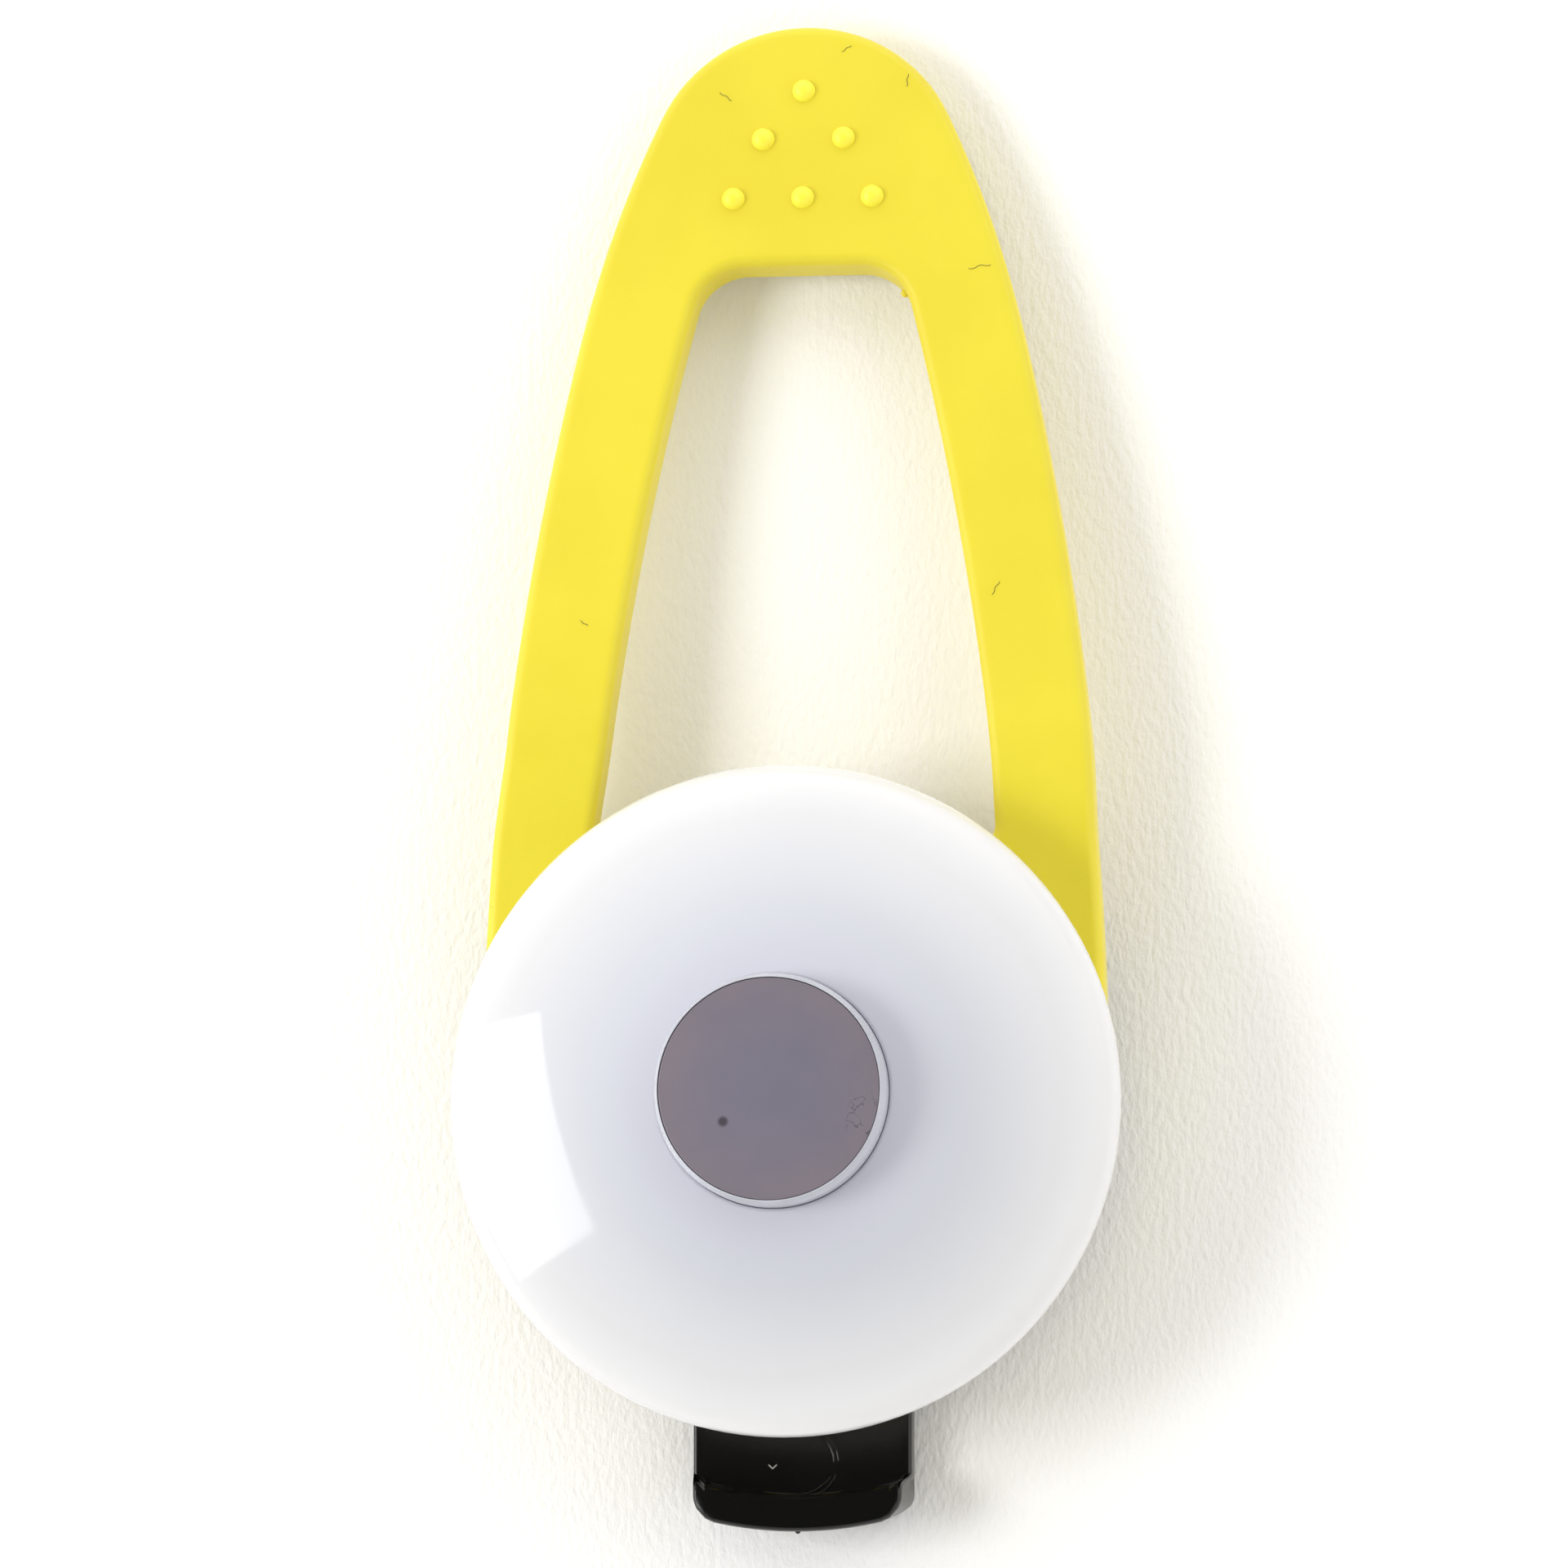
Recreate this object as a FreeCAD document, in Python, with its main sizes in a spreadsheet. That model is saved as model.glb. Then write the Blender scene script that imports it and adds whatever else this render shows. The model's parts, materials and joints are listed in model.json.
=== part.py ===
"""Clip-on safety light: a domed lamp with a push switch, worn on a collar or bar by its silicone loop.

Millimetres. The lamp's axis is Z, its back face is z = 0 and the dome looks along +Z. The silicone
loop runs along +Y and the hook that it is stretched over stands out along -Y.
"""

import FreeCAD
import Part

import os
import re
from math import hypot, sqrt

import Sketcher

OUT = "parts"

# ---------------------------------------------------------------------------------------------
# Driving dimensions: alias, value, meaning
# ---------------------------------------------------------------------------------------------
DIMENSIONS = [
    ("dome_flare", 2.1, "dome's rim beyond its skirt, radially"),
    ("rim_rise", 3.2, "dome's foot to its widest ring"),
    ("crown_rise", 5.2, "widest ring to where the dome's crown would meet the axis"),
    ("rim_round", 2.0, "radius of the dome's rounded rim, in section"),
    ("dome_wall", 1.3, "dome wall"),
    ("skirt_wall", 1.5, "dome skirt at its foot"),
    ("skirt_gap", 0.1, "dome skirt to neck, radially"),
    ("collar_wall", 1.05, "guide tube under the dome's hole"),
    ("button_proud", 1.4, "top of the button above the crown's meeting with the axis"),
    ("button_dia", 10.6, "button"),
    ("button_side", 4.8, "button side, from its top to the foot of the guide tube"),
    ("button_wall", 0.9, "button side wall"),
    ("button_gap", 0.12, "button in the dome's hole, radially"),
    ("button_flange", 0.9, "flange that keeps the button in, beyond its side"),
    ("flange_thick", 0.7, "thickness of that flange"),
    ("button_roof", 0.85, "roof of the button under the disc"),
    ("button_edge", 0.15, "broken edge round the button's top"),
    ("post_dia", 2.6, "post under the button"),
    ("disc_rim", 0.25, "rim of the button round the disc"),
    ("disc_thick", 0.3, "metal disc"),
    ("disc_inset", 0.05, "disc below the rim, and its gap"),
    ("cell_dia", 20.0, "coin cell"),
    ("cell_height", 3.2, "coin cell"),
    ("can_height", 2.9, "coin cell can"),
    ("can_wall", 0.25, "coin cell can, sheet thickness"),
    ("can_round", 0.5, "coin cell can, bottom edge"),
    ("cap_inset", 1.4, "coin cell cap inside the can, radially"),
    ("seal_wall", 0.3, "coin cell gasket"),
    ("cell_gap", 0.25, "cell in its chamber, radially"),
    ("cell_lift", 0.05, "cell above the door"),
    ("housing_wall", 1.55, "wall round the chamber, at the neck"),
    ("flange_height", 3.4, "wide foot of the housing, below the strap"),
    ("flange_wall", 1.85, "foot of the housing, outside the door's recess"),
    ("foot_round", 1.0, "rounded edge of the back face"),
    ("neck_overlap", 2.2, "neck inside the dome's skirt"),
    ("snap_reach", 0.3, "snap ring on the neck"),
    ("snap_rise", 0.8, "foot of the snap ring above the dome's foot"),
    ("snap_height", 0.8, "snap ring, along the axis"),
    ("snap_gap", 0.05, "snap ring in its groove"),
    ("contact_room", 0.45, "cell to the chamber's ceiling"),
    ("floor_thick", 0.7, "floor between the cell and the board"),
    ("floor_hole", 4.0, "radius of the hole in that floor"),
    ("board_step", 0.3, "ledge that lifts the board off the floor"),
    ("ledge_width", 1.0, "width of that ledge"),
    ("board_thick", 0.8, "circuit board"),
    ("board_gap", 0.2, "board in the neck, radially"),
    ("board_seat", 0.65, "board seat beyond the chamber's radius"),
    ("stake_inset", 2.0, "heat stakes inside the board seat, radially"),
    ("stake_dia", 1.2, "heat stake"),
    ("stake_head", 2.0, "heat stake head"),
    ("stake_gap", 0.1, "heat stake in its hole, radially"),
    ("head_thick", 0.4, "heat stake head"),
    ("door_inset", 0.05, "door plate above the back face"),
    ("door_thick", 1.25, "door plate"),
    ("door_gap", 0.15, "door in its recess, radially"),
    ("step_gap", 0.05, "door plate and lugs to the bayonet ledge"),
    ("ring_gap", 0.15, "door ring round the cell, radially"),
    ("ring_wall", 0.75, "door ring"),
    ("bayonet_ledge", 0.55, "bayonet ledge of the housing"),
    ("lug_thick", 0.55, "bayonet lug"),
    ("lug_reach", 0.8, "bayonet lug beyond the door ring"),
    ("lug_angle", 24.0, "bayonet lug, round the axis"),
    ("lug_root", 0.3, "bayonet lug let into the door ring"),
    ("notch_root", 0.5, "notch let into the chamber"),
    ("lug_turn", 45.0, "turn from locked to free"),
    ("notch_slack", 2.0, "notch beyond the lug, each side, round the axis"),
    ("coin_slot", 13.0, "coin slot length"),
    ("coin_width", 1.8, "coin slot width"),
    ("coin_depth", 0.7, "coin slot depth"),
    ("coin_end", 1.08, "radius of the coin slot's ends"),
    ("seal_dia", 0.72, "door seal, in section"),
    ("seal_gap", 0.03, "door seal to the recess wall"),
    ("seal_lip", 0.25, "door plate outside the seal groove"),
    ("strap_thick", 2.6, "silicone strap"),
    ("strap_reach", 51.55, "lamp axis to the tip of the strap, along the strap"),
    ("strap_round", 0.8, "rounded edges of the strap"),
    ("collar_width", 2.8, "strap ring round the neck"),
    ("tip_round", 7.5, "radius of the strap's tip, seen from the front"),
    ("shoulder_bend", 54.6, "radius of the strap's shoulder"),
    ("side_ease", 1.1, "long side's radius over that of an arc straight from ring to tip"),
    ("tip_length", 11.75, "far end of the loop's opening to the tip"),
    ("loop_neck", 4.65, "half width of the opening at its far end"),
    ("arm_root", 5.02, "width of an arm where it leaves the ring"),
    ("loop_bend", 170.0, "radius of the opening's long side"),
    ("loop_corner", 2.5, "corners at the far end of the opening"),
    ("crotch_corner", 0.9, "corners where the arms leave the ring"),
    ("bend_offset", 2.9, "outside of the ring to the first bend line"),
    ("bend_pitch", 9.0, "one bend line to the next"),
    ("bend_gap", 0.1, "gap between neighbouring lengths of the strap"),
    ("dot_dia", 1.1, "grip dot"),
    ("dot_rise", 0.4, "grip dot above the strap"),
    ("dot_row_one", 3.25, "tip to the single dot"),
    ("dot_row_two", 5.6, "tip to the pair"),
    ("dot_row_three", 8.5, "tip to the row of three"),
    ("dot_pair", 1.91, "pair of dots, half their spacing"),
    ("dot_three", 3.3, "row of three, spacing"),
    ("hook_channel", 4.05, "channel between the foot and the lip"),
    ("hook_width", 10.1, "hook"),
    ("hook_lift", 0.3, "underside of the hook above the back face"),
    ("hook_plate", 1.7, "hook plate"),
    ("lip_height", 2.3, "lip above the plate"),
    ("lip_thick", 1.6, "lip"),
    ("hook_corner", 1.2, "rounded corners of the hook, seen from the front"),
    ("hook_edge", 0.25, "rounded edges of the hook"),
    ("hook_root", 1.4, "hook plate let into the housing foot"),
    ("ejector_dia", 2.8, "ejector mark in the hook's channel"),
    ("ejector_depth", 0.05, "ejector mark"),
    ("ejector_shift", 0.3, "ejector mark, from the middle of the channel towards the lip"),
    ("led_ring", 7.2, "lamps from the axis"),
    ("led_length", 3.5, "lamp package, round the axis"),
    ("led_width", 2.8, "lamp package, radially"),
    ("led_height", 1.9, "lamp package"),
    ("lens_dia", 2.2, "lamp lens at the top"),
    ("lens_foot", 1.6, "lamp lens at the bottom"),
    ("lens_depth", 0.9, "lamp lens"),
    ("switch_side", 5.2, "switch body"),
    ("switch_height", 1.4, "switch body"),
    ("switch_floor", 0.35, "floor of the switch body"),
    ("switch_well", 1.9, "radius of the well in the switch body"),
    ("cover_thick", 0.15, "switch cover plate"),
    ("stem_dia", 2.2, "switch stem"),
    ("stem_gap", 0.05, "stem in the cover plate, radially and above its flange"),
    ("stem_rise", 0.65, "stem above the cover plate"),
    ("stem_flange", 1.7, "radius of the stem's flange"),
    ("snap_dome_rise", 0.4, "snap dome"),
    ("snap_dome_sheet", 0.1, "snap dome sheet"),
    ("strip_thick", 0.2, "battery contact strip"),
    ("strip_width", 3.0, "battery contact strip"),
    ("strip_gap", 0.2, "contact strip in its pocket"),
    ("pocket_sill", 0.15, "strip pocket above the door's channel"),
    ("strip_bow", 0.3, "positive contact's leg beyond the chamber's wall"),
    ("strip_tab", 2.4, "positive contact's tab under the board"),
    ("strip_shoulder", 0.3, "top of the positive contact's bend, below the ceiling"),
    ("bulge_drop", 0.35, "top of the can to the top of the contact's bulge"),
    ("bulge_height", 0.4, "flat of the contact's bulge"),
    ("toe_drop", 0.55, "foot of the positive contact, below its bulge"),
    ("toe_flare", 0.4, "foot of the positive contact, away from the can"),
    ("tab_far", 3.4, "far end of the negative contact's tab, from the axis"),
    ("tab_near", 1.6, "near end of the negative contact's tab, from the axis"),
    ("tab_bend", 0.1, "shift of the strip's upper face at the tab's bend"),
    ("touch_near", 0.3, "near end of the negative contact's touching flat"),
    ("touch_far", 1.1, "far end of the negative contact's touching flat"),
    ("touch_end", 2.0, "upturned end of the negative contact"),
    ("touch_rise", 0.3, "rise of that end"),
    ("chip_width", 1.6, "flasher chip, radially"),
    ("chip_length", 2.9, "flasher chip"),
    ("chip_height", 1.1, "flasher chip"),
    ("chip_lift", 0.1, "flasher chip above the board"),
    ("lead_length", 0.6, "chip lead"),
    ("lead_width", 0.35, "chip lead"),
    ("lead_thick", 0.2, "chip leads and switch legs"),
    ("lead_out", 1.1, "middle of the chip to the middle of a lead"),
    ("lead_pitch", 0.95, "chip leads, spacing"),
    ("resistor_pitch", 2.6, "resistors, spacing"),
    ("resistor_length", 2.0, "resistor and capacitor"),
    ("resistor_width", 1.25, "resistor and capacitor"),
    ("resistor_height", 0.5, "resistor"),
    ("resistor_shift", 0.4, "resistors inside the ring of lamps"),
    ("capacitor_height", 0.9, "capacitor"),
    ("capacitor_shift", 0.8, "capacitor inside the ring of lamps"),
    ("leg_length", 0.9, "switch leg"),
    ("leg_width", 0.7, "switch leg"),
    ("leg_spread", 1.6, "switch legs, half their spacing"),
    ("cut_over", 0.1, "how far a cut runs past the face it starts from"),
]

SHEET = "dims"
doc = FreeCAD.newDocument("safety_light")
sheet = doc.addObject("Spreadsheet::Sheet", SHEET)
for row, (alias, number, meaning) in enumerate(DIMENSIONS, start=1):
    sheet.set(f"A{row}", alias)
    sheet.set(f"B{row}", str(number))
    sheet.setAlias(f"B{row}", alias)
    sheet.set(f"C{row}", meaning)
doc.recompute()

ALIAS = re.compile(r"\b(" + "|".join(name for name, _, _ in DIMENSIONS) + r")\b")

# ---------------------------------------------------------------------------------------------
# Sizes that follow from the driving dimensions, as expressions on the sheet
# ---------------------------------------------------------------------------------------------
cell_r = "(cell_dia / 2)"
chamber_r = f"({cell_r} + cell_gap)"
neck_r = f"({chamber_r} + housing_wall)"
door_ring_in = f"({cell_r} + ring_gap)"
door_ring_out = f"({door_ring_in} + ring_wall)"
ledge_r = f"({door_ring_out} + door_gap)"
lug_r = f"({door_ring_out} + lug_reach)"
channel_r = f"({lug_r} + door_gap)"
plate_r = f"({channel_r} + door_gap)"
recess_r = f"({plate_r} + door_gap)"
flange_r = f"({recess_r} + flange_wall)"
ring_r = f"({neck_r} + collar_width)"
hook_reach = f"({flange_r} + hook_channel + lip_thick)"

plate_top = "(door_inset + door_thick)"
ledge_foot = f"({plate_top} + step_gap)"
ledge_top = f"({ledge_foot} + bayonet_ledge)"
lug_foot = f"({ledge_top} + step_gap)"
lug_top = f"({lug_foot} + lug_thick)"
channel_top = f"({lug_top} + 2 * step_gap)"
cell_foot = f"({plate_top} + cell_lift)"
cell_top = f"({cell_foot} + cell_height)"
ceiling = f"({cell_top} + contact_room)"
floor_top = f"({ceiling} + floor_thick)"
board_foot = f"({floor_top} + board_step)"
board_top = f"({board_foot} + board_thick)"
board_hole_r = f"({chamber_r} + board_seat)"
stake_ring = f"({board_hole_r} - stake_inset)"
dome_foot = "(flange_height + strap_thick)"
neck_top = f"({dome_foot} + neck_overlap)"

skirt_in = f"({neck_r} + skirt_gap)"
skirt_out = f"({skirt_in} + skirt_wall)"
rim_centre = f"({skirt_out} + dome_flare - rim_round)"
rim_height = f"({dome_foot} + rim_rise)"
rim_inner = "(rim_round - dome_wall)"
crown_r = f"(({rim_centre}^2 + crown_rise^2 - rim_round^2) / (2 * (crown_rise - rim_round)))"
crown_centre = f"({rim_height} + crown_rise - {crown_r})"
crown_inner = f"({crown_r} - dome_wall)"
crown_share = f"(1 / ({crown_r} - rim_round))"
bore_r = "(button_dia / 2 + button_gap)"
guide_r = f"({bore_r} + collar_wall)"
button_top = f"({rim_height} + crown_rise + button_proud)"
guide_foot = f"({button_top} - button_side)"

switch_top = f"({board_top} + switch_height)"
well_floor = f"({board_top} + switch_floor)"
cover_top = f"({switch_top} + cover_thick)"
stem_top = f"({cover_top} + stem_rise)"

loop_top = "(strap_reach - tip_length)"
loop_foot = f"({ring_r} - arm_root)"
bend_start = f"({ring_r} + bend_offset)"
tip_centre = "(strap_reach - tip_round)"
side_bend = f"(side_ease * ({ring_r}^2 + {tip_centre}^2 - tip_round^2) / (2 * ({ring_r} - tip_round)))"


def on_sheet(text):
    """The expression with each alias named as a cell of the sheet."""
    return ALIAS.sub(SHEET + r".\1", text)


def value(text):
    """The expression's number now."""
    return float(sheet.evalExpression(on_sheet(text)))


def bind(thing, path, text):
    """Ties a property or constraint to the sheet."""
    thing.setExpression(path, on_sheet(text))


# ---------------------------------------------------------------------------------------------
# Sketches and features
# ---------------------------------------------------------------------------------------------
def point(x, y, bend=None, turn=1):
    """A corner of an outline. bend is the radius of the arc that leaves it; turn is 1 for an arc
    that turns left on its way to the next corner and -1 for one that turns right."""
    return (x, y, bend, turn)


def new_body(label):
    body = doc.addObject("PartDesign::Body", label)
    body.Label = label
    return body


def new_sketch(body, plane, lift=None):
    """An empty sketch on one of the body's own planes, lifted along that plane's normal."""
    sketch = body.newObject("Sketcher::SketchObject", "outline")
    support = [f for f in body.Origin.OriginFeatures if f.Role == plane][0]
    sketch.AttachmentSupport = [(support, "")]
    sketch.MapMode = "FlatFace"
    if lift:
        bind(sketch, "AttachmentOffset.Base.z", lift)
    return sketch


def arc_between(start, end, radius, turn):
    """The arc under half a circle from start to end. It is always stored anticlockwise."""
    middle = (start + end) / 2
    chord = end - start
    left = FreeCAD.Vector(-chord.y, chord.x, 0).normalize()
    centre = middle + left * (turn * sqrt(max(radius**2 - chord.Length**2 / 4, 0)))
    circle = Part.Circle(centre, FreeCAD.Vector(0, 0, 1), radius)
    first, last = (start, end) if turn > 0 else (end, start)
    return Part.ArcOfCircle(circle, circle.parameter(first), circle.parameter(last))


def place_point(sketch, edge, end, x, y, name):
    """Fixes one end of an edge at two expressions."""
    for kind, text in (("DistanceX", x), ("DistanceY", y)):
        index = sketch.addConstraint(Sketcher.Constraint(kind, edge, end, value(text)))
        sketch.renameConstraint(index, name + kind[-1])
        bind(sketch, f"Constraints.{name}{kind[-1]}", text)


def fix_radius(sketch, edge, text, name):
    index = sketch.addConstraint(Sketcher.Constraint("Radius", edge, value(text)))
    sketch.renameConstraint(index, name)
    bind(sketch, f"Constraints.{name}", text)


def draw_outline(sketch, corners, tag="p"):
    """Draws a closed outline through the corners, with every corner and radius tied to the sheet."""
    places = [FreeCAD.Vector(value(x), value(y), 0) for x, y, _, _ in corners]
    ends = []
    for i, (_, _, bend, turn) in enumerate(corners):
        start, end = places[i], places[(i + 1) % len(corners)]
        if bend is None:
            edge = sketch.addGeometry(Part.LineSegment(start, end), False)
            ends.append((edge, 1, 2))
        else:
            edge = sketch.addGeometry(arc_between(start, end, value(bend), turn), False)
            ends.append((edge, 1, 2) if turn > 0 else (edge, 2, 1))
    for i, (x, y, bend, _) in enumerate(corners):
        edge, begin, _ = ends[i]
        last_edge, _, last_end = ends[i - 1]
        sketch.addConstraint(Sketcher.Constraint("Coincident", last_edge, last_end, edge, begin))
        place_point(sketch, edge, begin, x, y, f"{tag}{i}")
        if bend is not None:
            fix_radius(sketch, edge, bend, f"{tag}{i}r")


def draw_circles(sketch, circles):
    """Draws circles, each given as x, y and radius."""
    for i, (x, y, radius) in enumerate(circles):
        centre = FreeCAD.Vector(value(x), value(y), 0)
        edge = sketch.addGeometry(Part.Circle(centre, FreeCAD.Vector(0, 0, 1), value(radius)), False)
        place_point(sketch, edge, 3, x, y, f"c{i}")
        fix_radius(sketch, edge, radius, f"c{i}r")


def revolve(body, corners):
    """Turns an outline of (radius, height) corners round the lamp's axis."""
    sketch = new_sketch(body, "XZ_Plane")
    draw_outline(sketch, corners)
    feature = body.newObject("PartDesign::Revolution", "turned")
    feature.Profile = sketch
    feature.ReferenceAxis = (sketch, ["V_Axis"])
    feature.Angle = 360
    doc.recompute()
    return feature


def pad(body, sketch, length):
    """Raises a sketch along its normal."""
    feature = body.newObject("PartDesign::Pad", "raised")
    feature.Profile = sketch
    bind(feature, "Length", length)
    doc.recompute()
    return feature


def pocket(body, sketch, length):
    """Cuts a sketch into the body along the sketch's normal."""
    before = body.Shape.Volume
    feature = body.newObject("PartDesign::Pocket", "cut")
    feature.Profile = sketch
    feature.Reversed = True
    bind(feature, "Length", length)
    doc.recompute()
    if body.Shape.Volume > before - 1e-6:
        raise RuntimeError(f"a pocket in {body.Label} cuts nothing")
    return feature


def round_edges(body, radius, wanted):
    """Rounds the edges of the body that wanted(edge) picks."""
    last = body.Tip
    names = [f"Edge{i}" for i, edge in enumerate(last.Shape.Edges, start=1) if wanted(edge)]
    feature = body.newObject("PartDesign::Fillet", "rounded")
    feature.Base = (last, names)
    bind(feature, "Radius", radius)
    doc.recompute()
    return feature


def around(body, feature, copies):
    """Repeats a feature evenly round the lamp's axis."""
    pattern = body.newObject("PartDesign::PolarPattern", "around")
    pattern.Originals = [feature]
    pattern.Axis = (feature.Profile[0], ["N_Axis"])
    pattern.Angle = 360
    pattern.Occurrences = copies
    body.Tip = pattern
    doc.recompute()
    return pattern


def ring_sector(inner, outer, middle, half_angle):
    """Corners of a sector of a flat ring, given in degrees round the axis."""
    first, last = f"({middle} - {half_angle})", f"({middle} + {half_angle})"
    return [
        point(f"{inner} * cos({first})", f"{inner} * sin({first})"),
        point(f"{outer} * cos({first})", f"{outer} * sin({first})", outer, 1),
        point(f"{outer} * cos({last})", f"{outer} * sin({last})"),
        point(f"{inner} * cos({last})", f"{inner} * sin({last})", inner, -1),
    ]


def rectangle(left, right, low, high):
    return [point(left, low), point(right, low), point(right, high), point(left, high)]


def box(label, length, width, height):
    """A block centred on its own Z axis, standing on its own XY plane."""
    thing = doc.addObject("Part::Box", label)
    thing.Label = label
    for name, text in (("Length", length), ("Width", width), ("Height", height)):
        bind(thing, name, text)
    bind(thing, "Placement.Base.x", f"-({length}) / 2")
    bind(thing, "Placement.Base.y", f"-({width}) / 2")
    return thing


def move(thing, x="0", y="0", z="0", turn="0"):
    """Places a finished piece, turned about Z first."""
    for name, text in (("x", x), ("y", y), ("z", z)):
        bind(thing, f"Placement.Base.{name}", text)
    if turn != "0":
        thing.Placement.Rotation = FreeCAD.Rotation(FreeCAD.Vector(0, 0, 1), 1)
        bind(thing, "Placement.Rotation.Angle", turn)
    return thing


def block(label, length, width, height, x, y, z, turn="0"):
    """A block centred over (x, y), standing at z. The group carries its place."""
    blank = box(label + "_blank", length, width, height)
    group = doc.addObject("Part::Compound", label)
    group.Label = label
    group.Links = [blank]
    return move(group, x, y, z, turn)


def cut(label, base, tool):
    thing = doc.addObject("Part::Cut", label)
    thing.Label = label
    thing.Base = base
    thing.Tool = tool
    doc.recompute()
    return thing


def group(label, things):
    thing = doc.addObject("Part::Compound", label)
    thing.Label = label
    thing.Links = things
    doc.recompute()
    return thing


def radius_of(place):
    return hypot(place.x, place.y)


# ---------------------------------------------------------------------------------------------
# Housing
# ---------------------------------------------------------------------------------------------
STAKE_ANGLES = (30, 150, 270)


def stake_circles(radius):
    return [(f"{stake_ring} * cos({a})", f"{stake_ring} * sin({a})", radius) for a in STAKE_ANGLES]


def make_base_housing():
    """Black moulding: foot, neck, cell chamber, bayonet ledge, board floor, heat stakes and hook."""
    body = new_body("base_housing")
    add_hook(body)
    snap_low = f"({dome_foot} + snap_rise)"
    revolve(
        body,
        [
            point(recess_r, "0"),
            point(f"{flange_r} - foot_round", "0", "foot_round", 1),
            point(flange_r, "foot_round"),
            point(flange_r, "flange_height"),
            point(neck_r, "flange_height"),
            point(neck_r, snap_low),
            point(f"{neck_r} + snap_reach", f"{snap_low} + snap_height / 3"),
            point(neck_r, f"{snap_low} + snap_height"),
            point(neck_r, neck_top),
            point(board_hole_r, neck_top),
            point(board_hole_r, board_foot),
            point(f"{board_hole_r} - ledge_width", board_foot),
            point(f"{board_hole_r} - ledge_width", floor_top),
            point("floor_hole", floor_top),
            point("floor_hole", ceiling),
            point(chamber_r, ceiling),
            point(chamber_r, channel_top),
            point(channel_r, channel_top),
            point(channel_r, ledge_top),
            point(ledge_r, ledge_top),
            point(ledge_r, ledge_foot),
            point(recess_r, ledge_foot),
        ],
    )
    notch = new_sketch(body, "XY_Plane", f"{ledge_foot} - step_gap")
    half = "(lug_angle / 2 + notch_slack)"
    draw_outline(notch, ring_sector(f"({ledge_r} - notch_root)", channel_r, "(90 + lug_turn)", half))
    around(body, pocket(body, notch, "bayonet_ledge + 2 * step_gap"), 3)
    pocket_out = f"({chamber_r} + strip_gap + strip_thick + strip_bow)"
    pocket_half = "(strip_width / 2 + strip_gap)"
    for inner, foot, top in (
        (f"({cell_r} - strip_gap)", f"({channel_top} + pocket_sill)", ceiling),
        (f"({board_hole_r} - strip_tab - cut_over)", ceiling, board_foot),
    ):
        slot = new_sketch(body, "XY_Plane", foot)
        draw_outline(slot, rectangle(inner, pocket_out, f"-{pocket_half}", pocket_half))
        pocket(body, slot, f"{top} - {foot}")
    stakes = new_sketch(body, "XY_Plane", f"{floor_top} - cut_over")
    draw_circles(stakes, stake_circles("stake_dia / 2"))
    pad(body, stakes, f"{board_top} - {floor_top} + 2 * cut_over")
    heads = new_sketch(body, "XY_Plane", board_top)
    draw_circles(heads, stake_circles("stake_head / 2"))
    pad(body, heads, "head_thick")
    return body


def add_hook(body):
    """The hook: a plate from the foot, with a lip at its end that keeps the silicone loop on."""
    side = "(hook_width / 2)"
    root = f"({flange_r} - hook_root)"
    plate_top_z = "(hook_lift + hook_plate)"
    lip_r = f"({flange_r} + hook_channel)"
    end_y = f"sqrt({hook_reach}^2 - {side}^2)"
    lip_y = f"sqrt({lip_r}^2 - {side}^2)"
    plate = new_sketch(body, "XY_Plane", "hook_lift")
    draw_outline(
        plate,
        [
            point(f"-{side}", f"-{root}"),
            point(f"-{side}", f"-{end_y}", hook_reach, 1),
            point(side, f"-{end_y}"),
            point(side, f"-{root}"),
        ],
    )
    pad(body, plate, "hook_plate")
    lip = new_sketch(body, "XY_Plane", plate_top_z)
    draw_outline(
        lip,
        [
            point(f"-{side}", f"-{lip_y}"),
            point(f"-{side}", f"-{end_y}", hook_reach, 1),
            point(side, f"-{end_y}"),
            point(side, f"-{lip_y}", lip_r, -1),
        ],
    )
    pad(body, lip, "lip_height")
    end = value(hook_reach)
    half = value(side)

    def is_corner(edge):
        upright = abs(edge.Vertexes[0].Z - edge.Vertexes[-1].Z) > value("lip_height") / 2
        return upright and all(
            abs(abs(v.X) - half) < 1e-3 and abs(radius_of(v.Point) - end) < 1e-3 for v in edge.Vertexes
        )

    round_edges(body, "hook_corner", is_corner)
    under = value("hook_lift")
    over = value(f"{plate_top_z} + lip_height")
    foot = value(flange_r)

    def is_rim(edge):
        heights = [v.Z for v in edge.Vertexes]
        flat = max(heights) - min(heights) < 1e-4
        outer = max(radius_of(v.Point) for v in edge.Vertexes) > foot + value("cut_over")
        return flat and outer and min(abs(heights[0] - under), abs(heights[0] - over)) < 1e-4

    round_edges(body, "hook_edge", is_rim)
    mark = new_sketch(body, "XY_Plane", f"{plate_top_z} - ejector_depth")
    draw_circles(mark, [("0", f"-({lip_r} + {flange_r}) / 2 - ejector_shift", "ejector_dia / 2")])
    pocket(body, mark, "ejector_depth + cut_over")


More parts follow.
